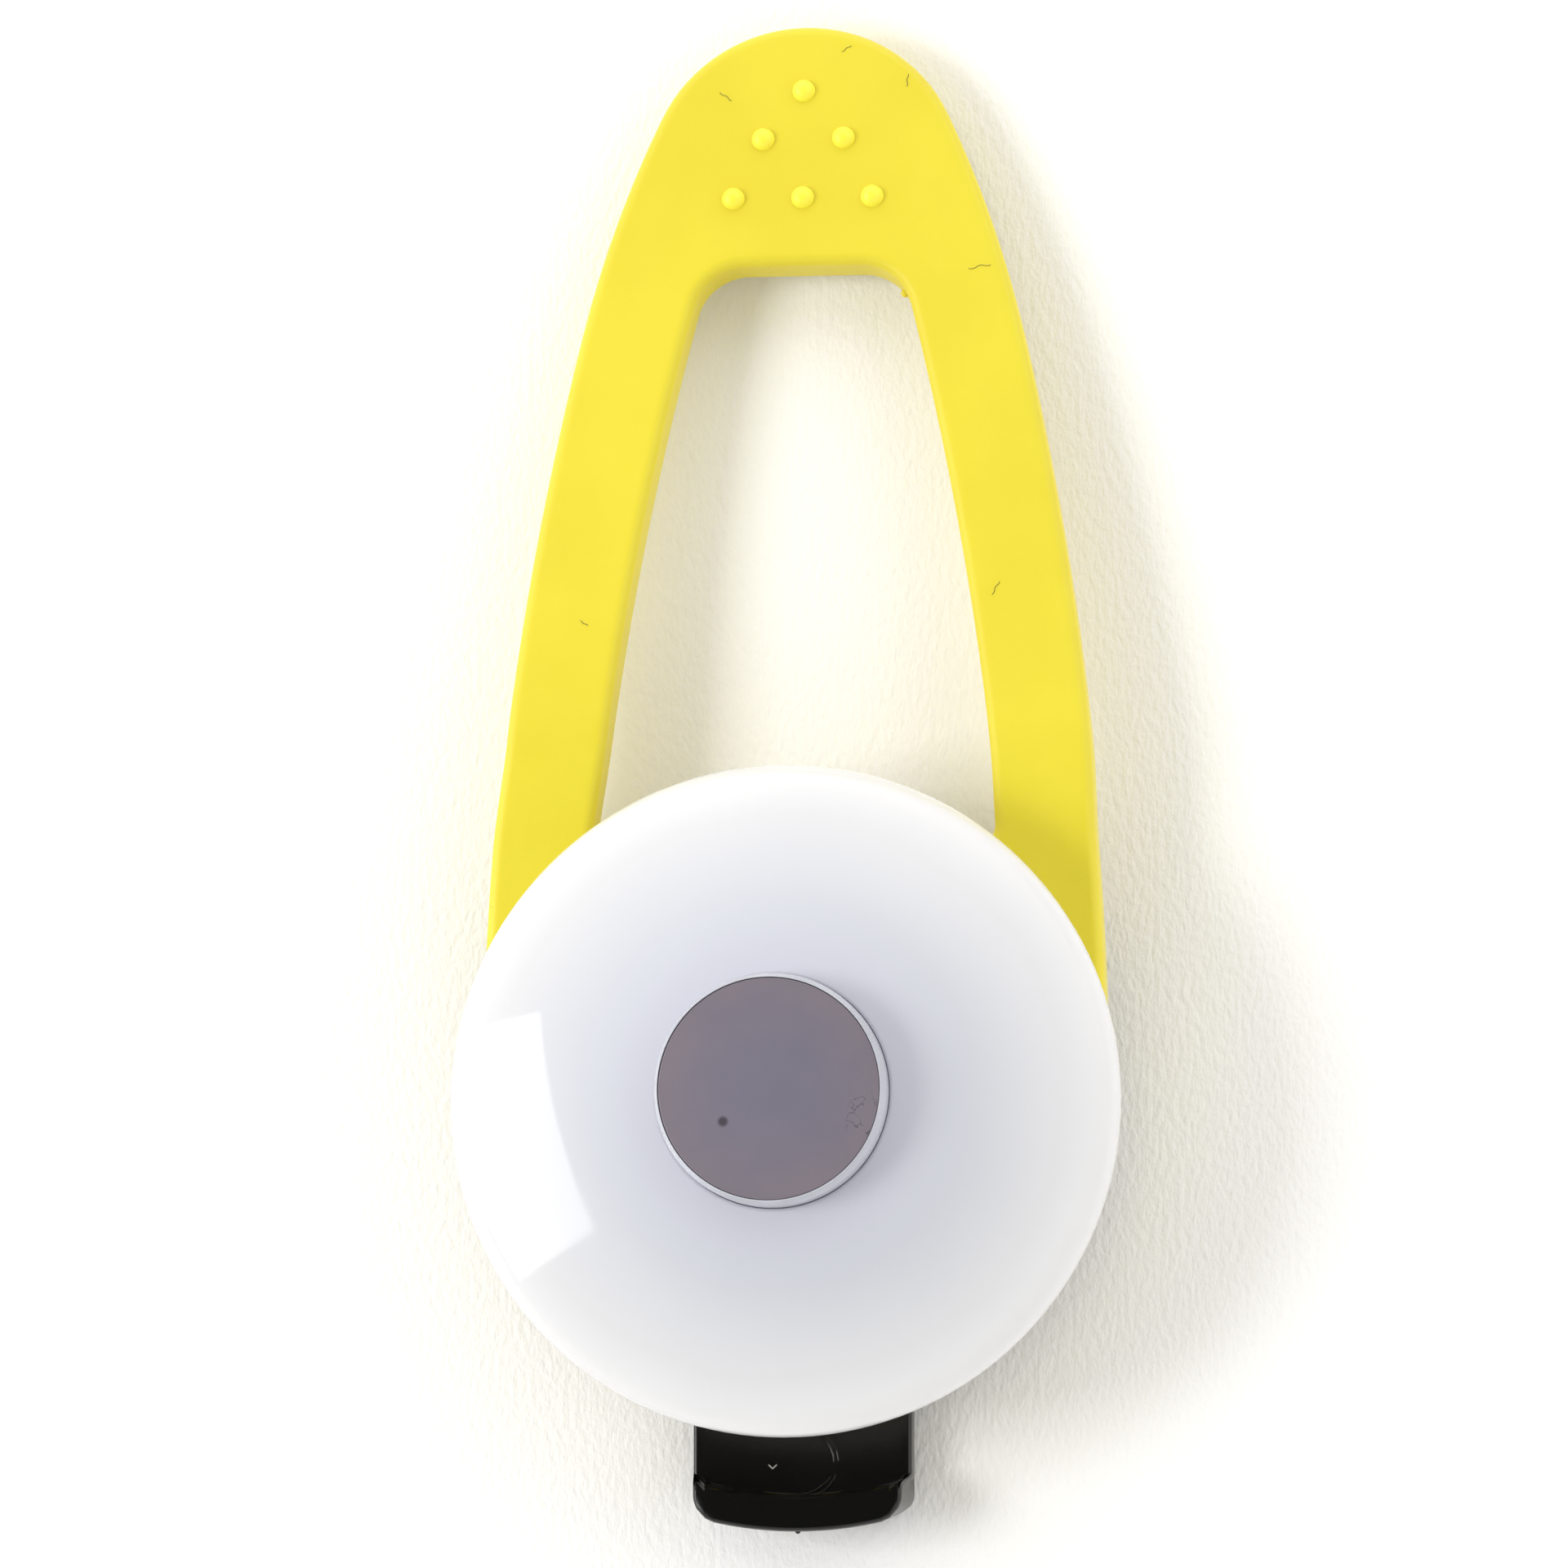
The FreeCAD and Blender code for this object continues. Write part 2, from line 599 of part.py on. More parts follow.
def make_battery_door():
    """Coin-slotted door: plate, ring round the cell, three bayonet lugs and the seal's groove."""
    body = new_body("battery_door")
    groove_r = f"({recess_r} - seal_gap - seal_dia)"
    groove_low = "(door_inset + seal_lip)"
    groove_high = f"({plate_top} - seal_lip)"
    revolve(
        body,
        [
            point("0", "door_inset"),
            point(plate_r, "door_inset"),
            point(plate_r, groove_low),
            point(groove_r, groove_low),
            point(groove_r, groove_high),
            point(plate_r, groove_high),
            point(plate_r, plate_top),
            point(door_ring_out, plate_top),
            point(door_ring_out, lug_top),
            point(door_ring_in, lug_top),
            point(door_ring_in, plate_top),
            point("0", plate_top),
        ],
    )
    lug = new_sketch(body, "XY_Plane", lug_foot)
    draw_outline(lug, ring_sector(f"({door_ring_out} - lug_root)", lug_r, "90", "(lug_angle / 2)"))
    around(body, pad(body, lug, "lug_thick"), 3)
    slot = new_sketch(body, "XY_Plane", "door_inset - cut_over")
    half_width = "(coin_width / 2)"
    straight = f"(coin_slot / 2 - coin_end + sqrt(coin_end^2 - {half_width}^2))"
    draw_outline(
        slot,
        [
            point(f"-{straight}", f"-{half_width}"),
            point(straight, f"-{half_width}", "coin_end", 1),
            point(straight, half_width),
            point(f"-{straight}", half_width, "coin_end", 1),
        ],
    )
    pocket(body, slot, "coin_depth + cut_over")
    return body


def make_door_seal():
    """O-ring in the door's groove."""
    seal = doc.addObject("Part::Torus", "door_seal")
    seal.Label = "door_seal"
    bind(seal, "Radius1", f"{recess_r} - seal_gap - seal_dia / 2")
    bind(seal, "Radius2", "seal_dia / 2")
    return move(seal, z="door_inset + door_thick / 2")


# ---------------------------------------------------------------------------------------------
# Dome and button
# ---------------------------------------------------------------------------------------------
def make_dome_lens():
    """White diffuser: crowned shell with a rounded rim, skirt with a snap groove, guide tube."""
    body = new_body("dome_lens")
    inset = f"({rim_centre} - {skirt_out})"
    under = f"(asin(rim_round / sqrt({inset}^2 + rim_rise^2)) + atan({inset} / rim_rise))"
    rise = f"({rim_height} - {crown_centre})"
    groove_low = f"({dome_foot} + snap_rise - snap_gap)"
    groove_high = f"({dome_foot} + snap_rise + snap_height + snap_gap)"
    ledge = f"({rim_height} - {rim_inner})"
    revolve(
        body,
        [
            point(skirt_in, dome_foot),
            point(skirt_out, dome_foot),
            point(
                f"{rim_centre} + rim_round * cos({under})",
                f"{rim_height} - rim_round * sin({under})",
                "rim_round",
                1,
            ),
            point(
                f"{crown_r} * {rim_centre} * {crown_share}",
                f"{crown_centre} + {crown_r} * {rise} * {crown_share}",
                crown_r,
                1,
            ),
            point(bore_r, f"{crown_centre} + sqrt({crown_r}^2 - {bore_r}^2)"),
            point(bore_r, guide_foot),
            point(guide_r, guide_foot),
            point(guide_r, f"{crown_centre} + sqrt({crown_inner}^2 - {guide_r}^2)", crown_inner, -1),
            point(
                f"{crown_inner} * {rim_centre} * {crown_share}",
                f"{crown_centre} + {crown_inner} * {rise} * {crown_share}",
                rim_inner,
                -1,
            ),
            point(f"{rim_centre} + {rim_inner}", rim_height, rim_inner, -1),
            point(rim_centre, ledge),
            point(skirt_in, ledge),
            point(skirt_in, groove_high),
            point(f"{skirt_in} + snap_reach", groove_high),
            point(f"{skirt_in} + snap_reach", groove_low),
            point(skirt_in, groove_low),
        ],
    )
    return body


def make_button_cap():
    """Push button: cup with a recess for the disc, a retaining flange and a post onto the switch."""
    body = new_body("button_cap")
    side = "(button_dia / 2)"
    seat_r = f"({side} - disc_rim + disc_inset)"
    seat = f"({button_top} - disc_thick - disc_inset)"
    roof = f"({seat} - button_roof)"
    flange_top = f"({guide_foot} - step_gap)"
    flange_foot = f"({flange_top} - flange_thick)"
    revolve(
        body,
        [
            point("0", stem_top),
            point("post_dia / 2", stem_top),
            point("post_dia / 2", roof),
            point(f"{side} - button_wall", roof),
            point(f"{side} - button_wall", flange_foot),
            point(f"{side} + button_flange", flange_foot),
            point(f"{side} + button_flange", flange_top),
            point(side, flange_top),
            point(side, f"{button_top} - button_edge", "button_edge", 1),
            point(f"{side} - button_edge", button_top),
            point(seat_r, button_top),
            point(seat_r, seat),
            point("0", seat),
        ],
    )
    return body


def make_button_disc():
    """Metal disc let into the top of the button."""
    disc = doc.addObject("Part::Cylinder", "button_disc")
    disc.Label = "button_disc"
    bind(disc, "Radius", "button_dia / 2 - disc_rim")
    bind(disc, "Height", "disc_thick")
    return move(disc, z=f"{button_top} - disc_thick - disc_inset")


# ---------------------------------------------------------------------------------------------
# Coin cell and contacts
# ---------------------------------------------------------------------------------------------
def make_coin_cell():
    """Can, gasket, cap and filling of the coin cell, plus side down."""
    can_in = f"({cell_r} - can_wall)"
    seal_in = f"({can_in} - seal_wall)"
    can_top = f"({cell_foot} + can_height)"
    inside = f"({cell_foot} + can_wall)"
    cap_r = f"({cell_r} - cap_inset)"
    crimp = f"({can_top} - can_wall)"
    can = new_body("coin_cell_can")
    revolve(
        can,
        [
            point("0", cell_foot),
            point(f"{cell_r} - can_round", cell_foot, "can_round", 1),
            point(cell_r, f"{cell_foot} + can_round"),
            point(cell_r, f"{can_top} - can_wall", "can_wall", 1),
            point(can_in, can_top),
            point(f"{cap_r} + seal_wall", can_top),
            point(f"{cap_r} + seal_wall", crimp),
            point(can_in, crimp),
            point(can_in, inside),
            point("0", inside),
        ],
    )
    gasket = new_body("coin_cell_gasket")
    revolve(
        gasket,
        [
            point(seal_in, inside),
            point(can_in, inside),
            point(can_in, crimp),
            point(f"{cap_r} + seal_wall", crimp),
            point(f"{cap_r} + seal_wall", can_top),
            point(cap_r, can_top),
            point(cap_r, f"{crimp} - seal_wall"),
            point(seal_in, f"{crimp} - seal_wall"),
        ],
    )
    cap = new_body("coin_cell_cap")
    shelf = f"({crimp} - seal_wall)"
    revolve(
        cap,
        [
            point("0", f"{cell_top} - can_wall"),
            point(f"{cap_r} - can_wall", f"{cell_top} - can_wall"),
            point(f"{cap_r} - can_wall", f"{shelf} - can_wall"),
            point(seal_in, f"{shelf} - can_wall"),
            point(seal_in, shelf),
            point(cap_r, shelf),
            point(cap_r, f"{cell_top} - can_wall", "can_wall", 1),
            point(f"{cap_r} - can_wall", cell_top),
            point("0", cell_top),
        ],
    )
    core = new_body("coin_cell_core")
    revolve(
        core,
        [
            point("0", inside),
            point(seal_in, inside),
            point(seal_in, f"{shelf} - can_wall"),
            point(f"{cap_r} - can_wall", f"{shelf} - can_wall"),
            point(f"{cap_r} - can_wall", f"{cell_top} - can_wall"),
            point("0", f"{cell_top} - can_wall"),
        ],
    )
    return [can, gasket, cap, core]


def make_strip(label, corners):
    """A bent contact strip: its side view raised equally to both sides of the XZ plane."""
    body = new_body(label)
    sketch = new_sketch(body, "XZ_Plane", "-strip_width / 2")
    draw_outline(sketch, corners)
    pad(body, sketch, "strip_width")
    return body


def make_contacts():
    """Spring strips under the board: one on the cell's cap, one on the side of its can."""
    tab = f"({board_foot} - strip_thick)"
    touch = f"({cell_top} + strip_thick)"
    negative = make_strip(
        "negative_contact",
        [
            point("-tab_far", board_foot),
            point("-tab_far", tab),
            point("-tab_near", tab),
            point("touch_near", cell_top),
            point("touch_far", cell_top),
            point("touch_end", f"{cell_top} + touch_rise"),
            point("touch_end", f"{touch} + touch_rise"),
            point("touch_far", touch),
            point("touch_near", touch),
            point("-tab_near + tab_bend", board_foot),
        ],
    )
    leg_in = f"({chamber_r} + strip_bow)"
    leg_out = f"({leg_in} + strip_thick)"
    bulge_out = f"({cell_r} + strip_thick)"
    shoulder = f"({ceiling} - strip_shoulder)"
    bulge_top = f"({cell_foot} + can_height - bulge_drop)"
    bulge_foot = f"({bulge_top} - bulge_height)"
    foot = f"({bulge_foot} - toe_drop)"
    positive = make_strip(
        "positive_contact",
        [
            point(f"{board_hole_r} - strip_tab", board_foot),
            point(f"{board_hole_r} - strip_tab", tab),
            point(leg_in, tab),
            point(leg_in, shoulder),
            point(cell_r, bulge_top),
            point(cell_r, bulge_foot),
            point(f"{cell_r} + toe_flare", foot),
            point(f"{bulge_out} + toe_flare", foot),
            point(bulge_out, bulge_foot),
            point(bulge_out, bulge_top),
            point(leg_out, shoulder),
            point(leg_out, board_foot),
        ],
    )
    return [negative, positive]


# ---------------------------------------------------------------------------------------------
# Circuit board and its parts
# ---------------------------------------------------------------------------------------------
LEDS = {"led_top": 90, "led_left": 210, "led_right": 330}


def make_circuit_board():
    """Round board on the housing's ledge, held by three heat stakes."""
    body = new_body("circuit_board")
    disc = new_sketch(body, "XY_Plane", board_foot)
    draw_circles(disc, [("0", "0", f"{board_hole_r} - board_gap")])
    pad(body, disc, "board_thick")
    holes = new_sketch(body, "XY_Plane", f"{board_foot} - cut_over")
    draw_circles(holes, stake_circles("stake_dia / 2 + stake_gap"))
    pocket(body, holes, "board_thick + 2 * cut_over")
    return body


def make_led(label, angle):
    """White lamp package and the lens in its cup, facing the dome."""
    case = box(label + "_case", "led_width", "led_length", "led_height")
    cup = doc.addObject("Part::Cone", label + "_cup")
    lens_blank = doc.addObject("Part::Cone", label + "_fill")
    for cone in (cup, lens_blank):
        bind(cone, "Radius1", "lens_foot / 2")
        bind(cone, "Radius2", "lens_dia / 2")
        bind(cone, "Height", "lens_depth")
        bind(cone, "Placement.Base.z", "led_height - lens_depth")
    package = cut(label, case, cup)
    lens = group(label + "_lens", [lens_blank])
    x, y = f"led_ring * cos({angle})", f"led_ring * sin({angle})"
    return [move(thing, x, y, board_top, str(angle)) for thing in (package, lens)]


def make_chip():
    """Flasher chip with three leads on each side."""
    chip = block(
        "control_chip",
        "chip_width",
        "chip_length",
        "chip_height",
        "-led_ring",
        "0",
        f"{board_top} + chip_lift",
    )
    leads = []
    for side in (-1, 1):
        for place in (-1, 0, 1):
            lead = box(f"lead_{side}_{place}", "lead_length", "lead_width", "lead_thick")
            x = f"-led_ring + {side} * lead_out - lead_length / 2"
            move(lead, x, f"{place} * lead_pitch - lead_width / 2", board_top)
            leads.append(lead)
    return [chip, group("chip_leads", leads)]


def make_passives():
    """Three series resistors and one capacitor."""
    resistors = []
    for place in (-1, 0, 1):
        resistor = box(f"resistor_{place + 1}", "resistor_length", "resistor_width", "resistor_height")
        x = f"{place} * resistor_pitch - resistor_length / 2"
        move(resistor, x, "-led_ring + resistor_shift", board_top)
        resistors.append(resistor)
    capacitor = block(
        "capacitor",
        "resistor_width",
        "resistor_length",
        "capacitor_height",
        "led_ring - capacitor_shift",
        "0",
        board_top,
    )
    return [group("resistors", resistors), capacitor]


def make_switch():
    """Push switch on the axis: body, cover plate, legs, snap dome and stem."""
    blank = box("switch_blank", "switch_side", "switch_side", "switch_height")
    bind(blank, "Placement.Base.z", board_top)
    well = doc.addObject("Part::Cylinder", "switch_well")
    bind(well, "Radius", "switch_well")
    bind(well, "Height", "switch_height")
    move(well, z=well_floor)
    body = cut("switch_body", blank, well)
    sheet_blank = box("cover_blank", "switch_side", "switch_side", "cover_thick")
    bind(sheet_blank, "Placement.Base.z", switch_top)
    hole = doc.addObject("Part::Cylinder", "cover_hole")
    bind(hole, "Radius", "stem_dia / 2 + stem_gap")
    bind(hole, "Height", "cover_thick * 3")
    move(hole, z=f"{switch_top} - cover_thick")
    cover = cut("switch_cover", sheet_blank, hole)
    legs = []
    for i, (side, end) in enumerate(((-1, -1), (-1, 1), (1, -1), (1, 1))):
        leg = box(f"leg_{i}", "leg_length", "leg_width", "lead_thick")
        x = f"{side} * (switch_side + leg_length) / 2 - leg_length / 2"
        move(leg, x, f"{end} * leg_spread - leg_width / 2", board_top)
        legs.append(leg)
    stem = new_body("switch_stem")
    flange_foot = f"({well_floor} + snap_dome_rise)"
    flange_top = f"({switch_top} - stem_gap)"
    revolve(
        stem,
        [
            point("0", flange_foot),
            point("stem_flange", flange_foot),
            point("stem_flange", flange_top),
            point("stem_dia / 2", flange_top),
            point("stem_dia / 2", stem_top),
            point("0", stem_top),
        ],
    )
    snap = new_body("snap_dome")
    inner = "(stem_flange - 1.5 * snap_dome_sheet)"
    inner_rise = "(snap_dome_rise - snap_dome_sheet)"
    outer_bend = "((stem_flange^2 + snap_dome_rise^2) / (2 * snap_dome_rise))"
    inner_bend = f"(({inner}^2 + {inner_rise}^2) / (2 * {inner_rise}))"
    revolve(
        snap,
        [
            point(inner, well_floor),
            point("stem_flange", well_floor, outer_bend, 1),
            point("0", f"{well_floor} + snap_dome_rise"),
            point("0", f"{well_floor} + {inner_rise}", inner_bend, -1),
        ],
    )
    return [body, cover, group("switch_legs", legs), stem, snap]


# ---------------------------------------------------------------------------------------------
# Silicone strap: one moulding, cut into lengths at its bend lines
# ---------------------------------------------------------------------------------------------
def tangent_chain(tip, tip_r, shoulder_r, side_r, ring):
    """Centres of the three arcs down the strap's right side, each tangent to the next: the tip's,
    the shoulder's and the side's, which runs upright into the ring where y = 0."""
    first = FreeCAD.Vector(0, tip - tip_r, 0)
    third = FreeCAD.Vector(ring - side_r, 0, 0)
    span = third - first
    near, far = shoulder_r - tip_r, side_r - shoulder_r
    along = (near**2 - far**2 + span.Length**2) / (2 * span.Length)
    offset = sqrt(max(near**2 - along**2, 0))
    unit = FreeCAD.Vector(span).normalize()
    across = FreeCAD.Vector(-unit.y, unit.x, 0)
    options = [first + unit * along + across * (s * offset) for s in (1, -1)]
    return first, min(options, key=lambda c: c.y), third


def draw_strap_outline(sketch):
    """Egg-shaped outline of six tangent arcs: tip, two shoulders, two sides and the ring."""
    names = ("strap_reach", "tip_round", "shoulder_bend", side_bend, ring_r)
    tip, tip_r, shoulder_r, side_r, ring = [value(name) for name in names]
    tip_c, shoulder_c, side_c = tangent_chain(tip, tip_r, shoulder_r, side_r, ring)
    upper = tip_c + (tip_c - shoulder_c).normalize() * tip_r
    lower = shoulder_c + (shoulder_c - side_c).normalize() * shoulder_r
    foot = FreeCAD.Vector(ring, 0, 0)

    def mirrored(v):
        return FreeCAD.Vector(-v.x, v.y, 0)

    def arc(centre, radius, start, end):
        circle = Part.Circle(centre, FreeCAD.Vector(0, 0, 1), radius)
        return Part.ArcOfCircle(circle, circle.parameter(start), circle.parameter(end))

    origin = FreeCAD.Vector(0, 0, 0)
    arcs = [
        (arc(tip_c, tip_r, upper, mirrored(upper)), "tip_round"),
        (arc(mirrored(shoulder_c), shoulder_r, mirrored(upper), mirrored(lower)), "shoulder_bend"),
        (arc(mirrored(side_c), side_r, mirrored(lower), mirrored(foot)), side_bend),
        (arc(origin, ring, mirrored(foot), foot), ring_r),
        (arc(side_c, side_r, foot, lower), side_bend),
        (arc(shoulder_c, shoulder_r, lower, upper), "shoulder_bend"),
    ]
    edges = [sketch.addGeometry(shape, False) for shape, _ in arcs]
    for i, edge in enumerate(edges):
        following = edges[(i + 1) % len(edges)]
        sketch.addConstraint(Sketcher.Constraint("Tangent", edge, 2, following, 1))
    for i, (_, radius) in enumerate(arcs):
        fix_radius(sketch, edges[i], radius, f"a{i}r")
    place_point(sketch, edges[0], 3, "0", tip_centre, "tip")
    place_point(sketch, edges[3], 3, "0", "0", "ring")
    for edge, end in ((edges[3], 1), (edges[3], 2)):
        sketch.addConstraint(Sketcher.Constraint("PointOnObject", edge, end, -1))


def make_strap_blank():
    """The whole strap laid flat: outline, neck hole, loop opening and rounded edges."""
    body = new_body("strap_blank")
    outline = new_sketch(body, "XY_Plane")
    draw_strap_outline(outline)
    pad(body, outline, "strap_thick")
    opening = new_sketch(body, "XY_Plane", "-0.1")
    crotch = f"sqrt({ring_r}^2 - {loop_foot}^2)"
    draw_outline(
        opening,
        [
            point(loop_foot, crotch, "loop_bend", 1),
            point("loop_neck", loop_top),
            point("-loop_neck", loop_top, "loop_bend", 1),
            point(f"-{loop_foot}", crotch, ring_r, -1),
        ],
    )
    pocket(body, opening, "strap_thick + 0.2")
    round_corners(body, "loop_corner", value("loop_neck"), value(loop_top))
    round_corners(body, "crotch_corner", value(loop_foot), value(crotch))
    thickness = value("strap_thick")

    def is_outline(edge):
        level = [v.Z for v in edge.Vertexes]
        return max(level) - min(level) < 1e-4 and min(abs(level[0]), abs(level[0] - thickness)) < 1e-4

    round_edges(body, "strap_round", is_outline)
    hole = new_sketch(body, "XY_Plane", "-0.1")
    draw_circles(hole, [("0", "0", neck_r)])
    pocket(body, hole, "strap_thick + 0.2")
    return body


def round_corners(body, radius, x, y):
    """Rounds the upright edges at (x, y) and at its mirror image."""

    def is_corner(edge):
        upright = abs(edge.Vertexes[0].Z - edge.Vertexes[-1].Z) > 1e-3
        return upright and all(
            abs(abs(v.X) - x) < 1e-3 and abs(v.Y - y) < 1e-3 for v in edge.Vertexes
        )

    round_edges(body, radius, is_corner)


def slice_strap(label, blank, low, high, side):
    """The strap between two distances from the lamp's axis, on one side of it or on both."""
    half = f"({ring_r} + 5)"
    knife = doc.addObject("Part::Box", label + "_knife")
    bind(knife, "Length", half if side else f"{half} * 2")
    bind(knife, "Width", f"{high} - {low}")
    bind(knife, "Height", "strap_thick + 4")
    bind(knife, "Placement.Base.x", "0" if side > 0 else f"-{half}")
    bind(knife, "Placement.Base.y", low)
    bind(knife, "Placement.Base.z", "-2")
    piece = doc.addObject("Part::Common", label)
    piece.Label = label
    piece.Base = blank
    piece.Tool = knife
    doc.recompute()
    return piece


def make_grip_dots():
    """Six low round dots near the tip: one, two and three in a triangle."""
    places = [("0", "dot_row_one"), ("-dot_pair", "dot_row_two"), ("dot_pair", "dot_row_two")]
    places += [(f"{k} * dot_three", "dot_row_three") for k in (-1, 0, 1)]
    dots = []
    for i, (x, from_tip) in enumerate(places):
        dot = doc.addObject("Part::Sphere", f"dot_{i}")
        bind(dot, "Radius", "dot_dia / 2")
        move(dot, x, f"strap_reach - {from_tip}", "strap_thick + dot_rise - dot_dia / 2")
        dots.append(dot)
    return dots


def lay_down(piece):
    """Lets the free strap slope from the first bend line until its tip meets the table."""
    slope = f"asin(flange_height / (strap_reach - {bend_start}))"
    piece.Placement.Rotation = FreeCAD.Rotation(FreeCAD.Vector(-1, 0, 0), 1)
    bind(piece, "Placement.Rotation.Angle", slope)
    bind(piece, "Placement.Base.y", f"{bend_start} * (1 - cos({slope}))")
    bind(piece, "Placement.Base.z", f"flange_height + {bend_start} * sin({slope})")
    return piece


def make_strap():
    """Ring with the roots of the arms, two lengths of each arm, and the tip with its grip dots."""
    blank = make_strap_blank()
    collar = slice_strap("strap_collar", blank, f"(-{ring_r} - 5)", bend_start, 0)
    move(collar, z="flange_height")
    pieces = [collar]
    for i, name in enumerate(("lower", "upper")):
        low = f"({bend_start} + {i} * bend_pitch + bend_gap)"
        high = f"({bend_start} + {i + 1} * bend_pitch)"
        for side, word in ((-1, "left"), (1, "right")):
            arm = slice_strap(f"strap_arm_{name}_{word}", blank, low, high, side)
            pieces.append(lay_down(arm))
    far = f"({bend_start} + 2 * bend_pitch + bend_gap)"
    end = slice_strap("strap_end", blank, far, "(strap_reach + 5)", 0)
    tip = doc.addObject("Part::MultiFuse", "strap_tip")
    tip.Label = "strap_tip"
    tip.Shapes = [end, *make_grip_dots()]
    pieces.append(lay_down(tip))
    return pieces


# ---------------------------------------------------------------------------------------------
# Build, check and write
# ---------------------------------------------------------------------------------------------
def make_all():
    pieces = [make_base_housing(), make_battery_door(), make_door_seal()]
    pieces += [make_dome_lens(), make_button_cap(), make_button_disc()]
    pieces += make_coin_cell()
    pieces += make_contacts()
    pieces.append(make_circuit_board())
    for label, angle in LEDS.items():
        pieces += make_led(label, angle)
    pieces += make_chip()
    pieces += make_passives()
    pieces += make_switch()
    pieces += make_strap()
    doc.recompute()
    return pieces


def check(pieces):
    """Stops on a feature that failed or a shape that is not a valid closed solid."""
    for thing in doc.Objects:
        if "Invalid" in thing.State or "Error" in thing.State:
            raise RuntimeError(f"{thing.Name} ({thing.Label}) failed: {thing.State}")
    for piece in pieces:
        shape = piece.Shape
        if shape.isNull() or not shape.isValid() or not shape.Solids:
            raise RuntimeError(f"{piece.Label} has no valid solid")


def write(pieces):
    os.makedirs(OUT, exist_ok=True)
    for piece in pieces:
        piece.Shape.exportStep(os.path.join(OUT, piece.Label + ".step"))
        bounds = piece.Shape.BoundBox
        print(
            f"{piece.Label:24s} {len(piece.Shape.Solids)} solid  {piece.Shape.Volume:9.2f} mm3  "
            f"x {bounds.XMin:7.2f}..{bounds.XMax:6.2f}  y {bounds.YMin:7.2f}..{bounds.YMax:6.2f}  "
            f"z {bounds.ZMin:6.2f}..{bounds.ZMax:6.2f}"
        )


parts = make_all()
check(parts)
write(parts)
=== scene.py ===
"""A clip-on safety light lying on its back: domed diffuser, push button, silicone loop and black base.

Metres throughout. The lamp's axis is Z, the loop runs along +Y and the hook stands out along -Y.
"""

from __future__ import annotations

import json
import logging
import math
from dataclasses import dataclass, field
from enum import Enum
from typing import Iterable, Sequence

import bmesh
import bpy
from mathutils import Matrix, Vector

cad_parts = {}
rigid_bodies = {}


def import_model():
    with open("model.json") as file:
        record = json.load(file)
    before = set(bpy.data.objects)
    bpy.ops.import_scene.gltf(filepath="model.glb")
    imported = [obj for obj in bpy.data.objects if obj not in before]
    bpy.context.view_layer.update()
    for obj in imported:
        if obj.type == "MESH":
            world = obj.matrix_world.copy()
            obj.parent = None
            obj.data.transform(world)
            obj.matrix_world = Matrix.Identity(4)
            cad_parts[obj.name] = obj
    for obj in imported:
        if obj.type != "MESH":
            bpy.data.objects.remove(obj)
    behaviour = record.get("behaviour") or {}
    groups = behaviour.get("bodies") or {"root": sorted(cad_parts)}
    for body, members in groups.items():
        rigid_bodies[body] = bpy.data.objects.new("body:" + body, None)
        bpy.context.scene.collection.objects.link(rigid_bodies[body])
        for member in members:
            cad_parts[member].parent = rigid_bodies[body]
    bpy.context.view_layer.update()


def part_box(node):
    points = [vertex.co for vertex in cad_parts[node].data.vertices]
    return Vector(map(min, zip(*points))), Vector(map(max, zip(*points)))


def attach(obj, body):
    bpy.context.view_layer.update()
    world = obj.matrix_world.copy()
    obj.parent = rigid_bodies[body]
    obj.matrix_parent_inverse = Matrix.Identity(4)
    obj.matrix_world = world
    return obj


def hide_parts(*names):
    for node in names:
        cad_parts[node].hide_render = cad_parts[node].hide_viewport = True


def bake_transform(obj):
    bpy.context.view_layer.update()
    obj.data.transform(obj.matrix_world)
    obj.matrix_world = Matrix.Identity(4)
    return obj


LOG = logging.getLogger("safety_light")
MM = 0.001
TURN_STEPS = 144
ARC_STEP = math.radians(7.5)
ARC_LENGTH = 0.55 * MM
LINE_LENGTH = 0.8 * MM
SMOOTH_ANGLE = math.radians(32)
FLAT_ANGLE = math.radians(0.5)
NORMAL_WEIGHT = 60
MERGE = 1e-7
ON_PLANE = 1e-8
INDEX_SLACK = 1e-4
STUD_SEGMENTS, STUD_RINGS = 32, 16
THREAD_SIDES = 6
Colour = tuple[float, float, float]
Point = tuple[float, float]


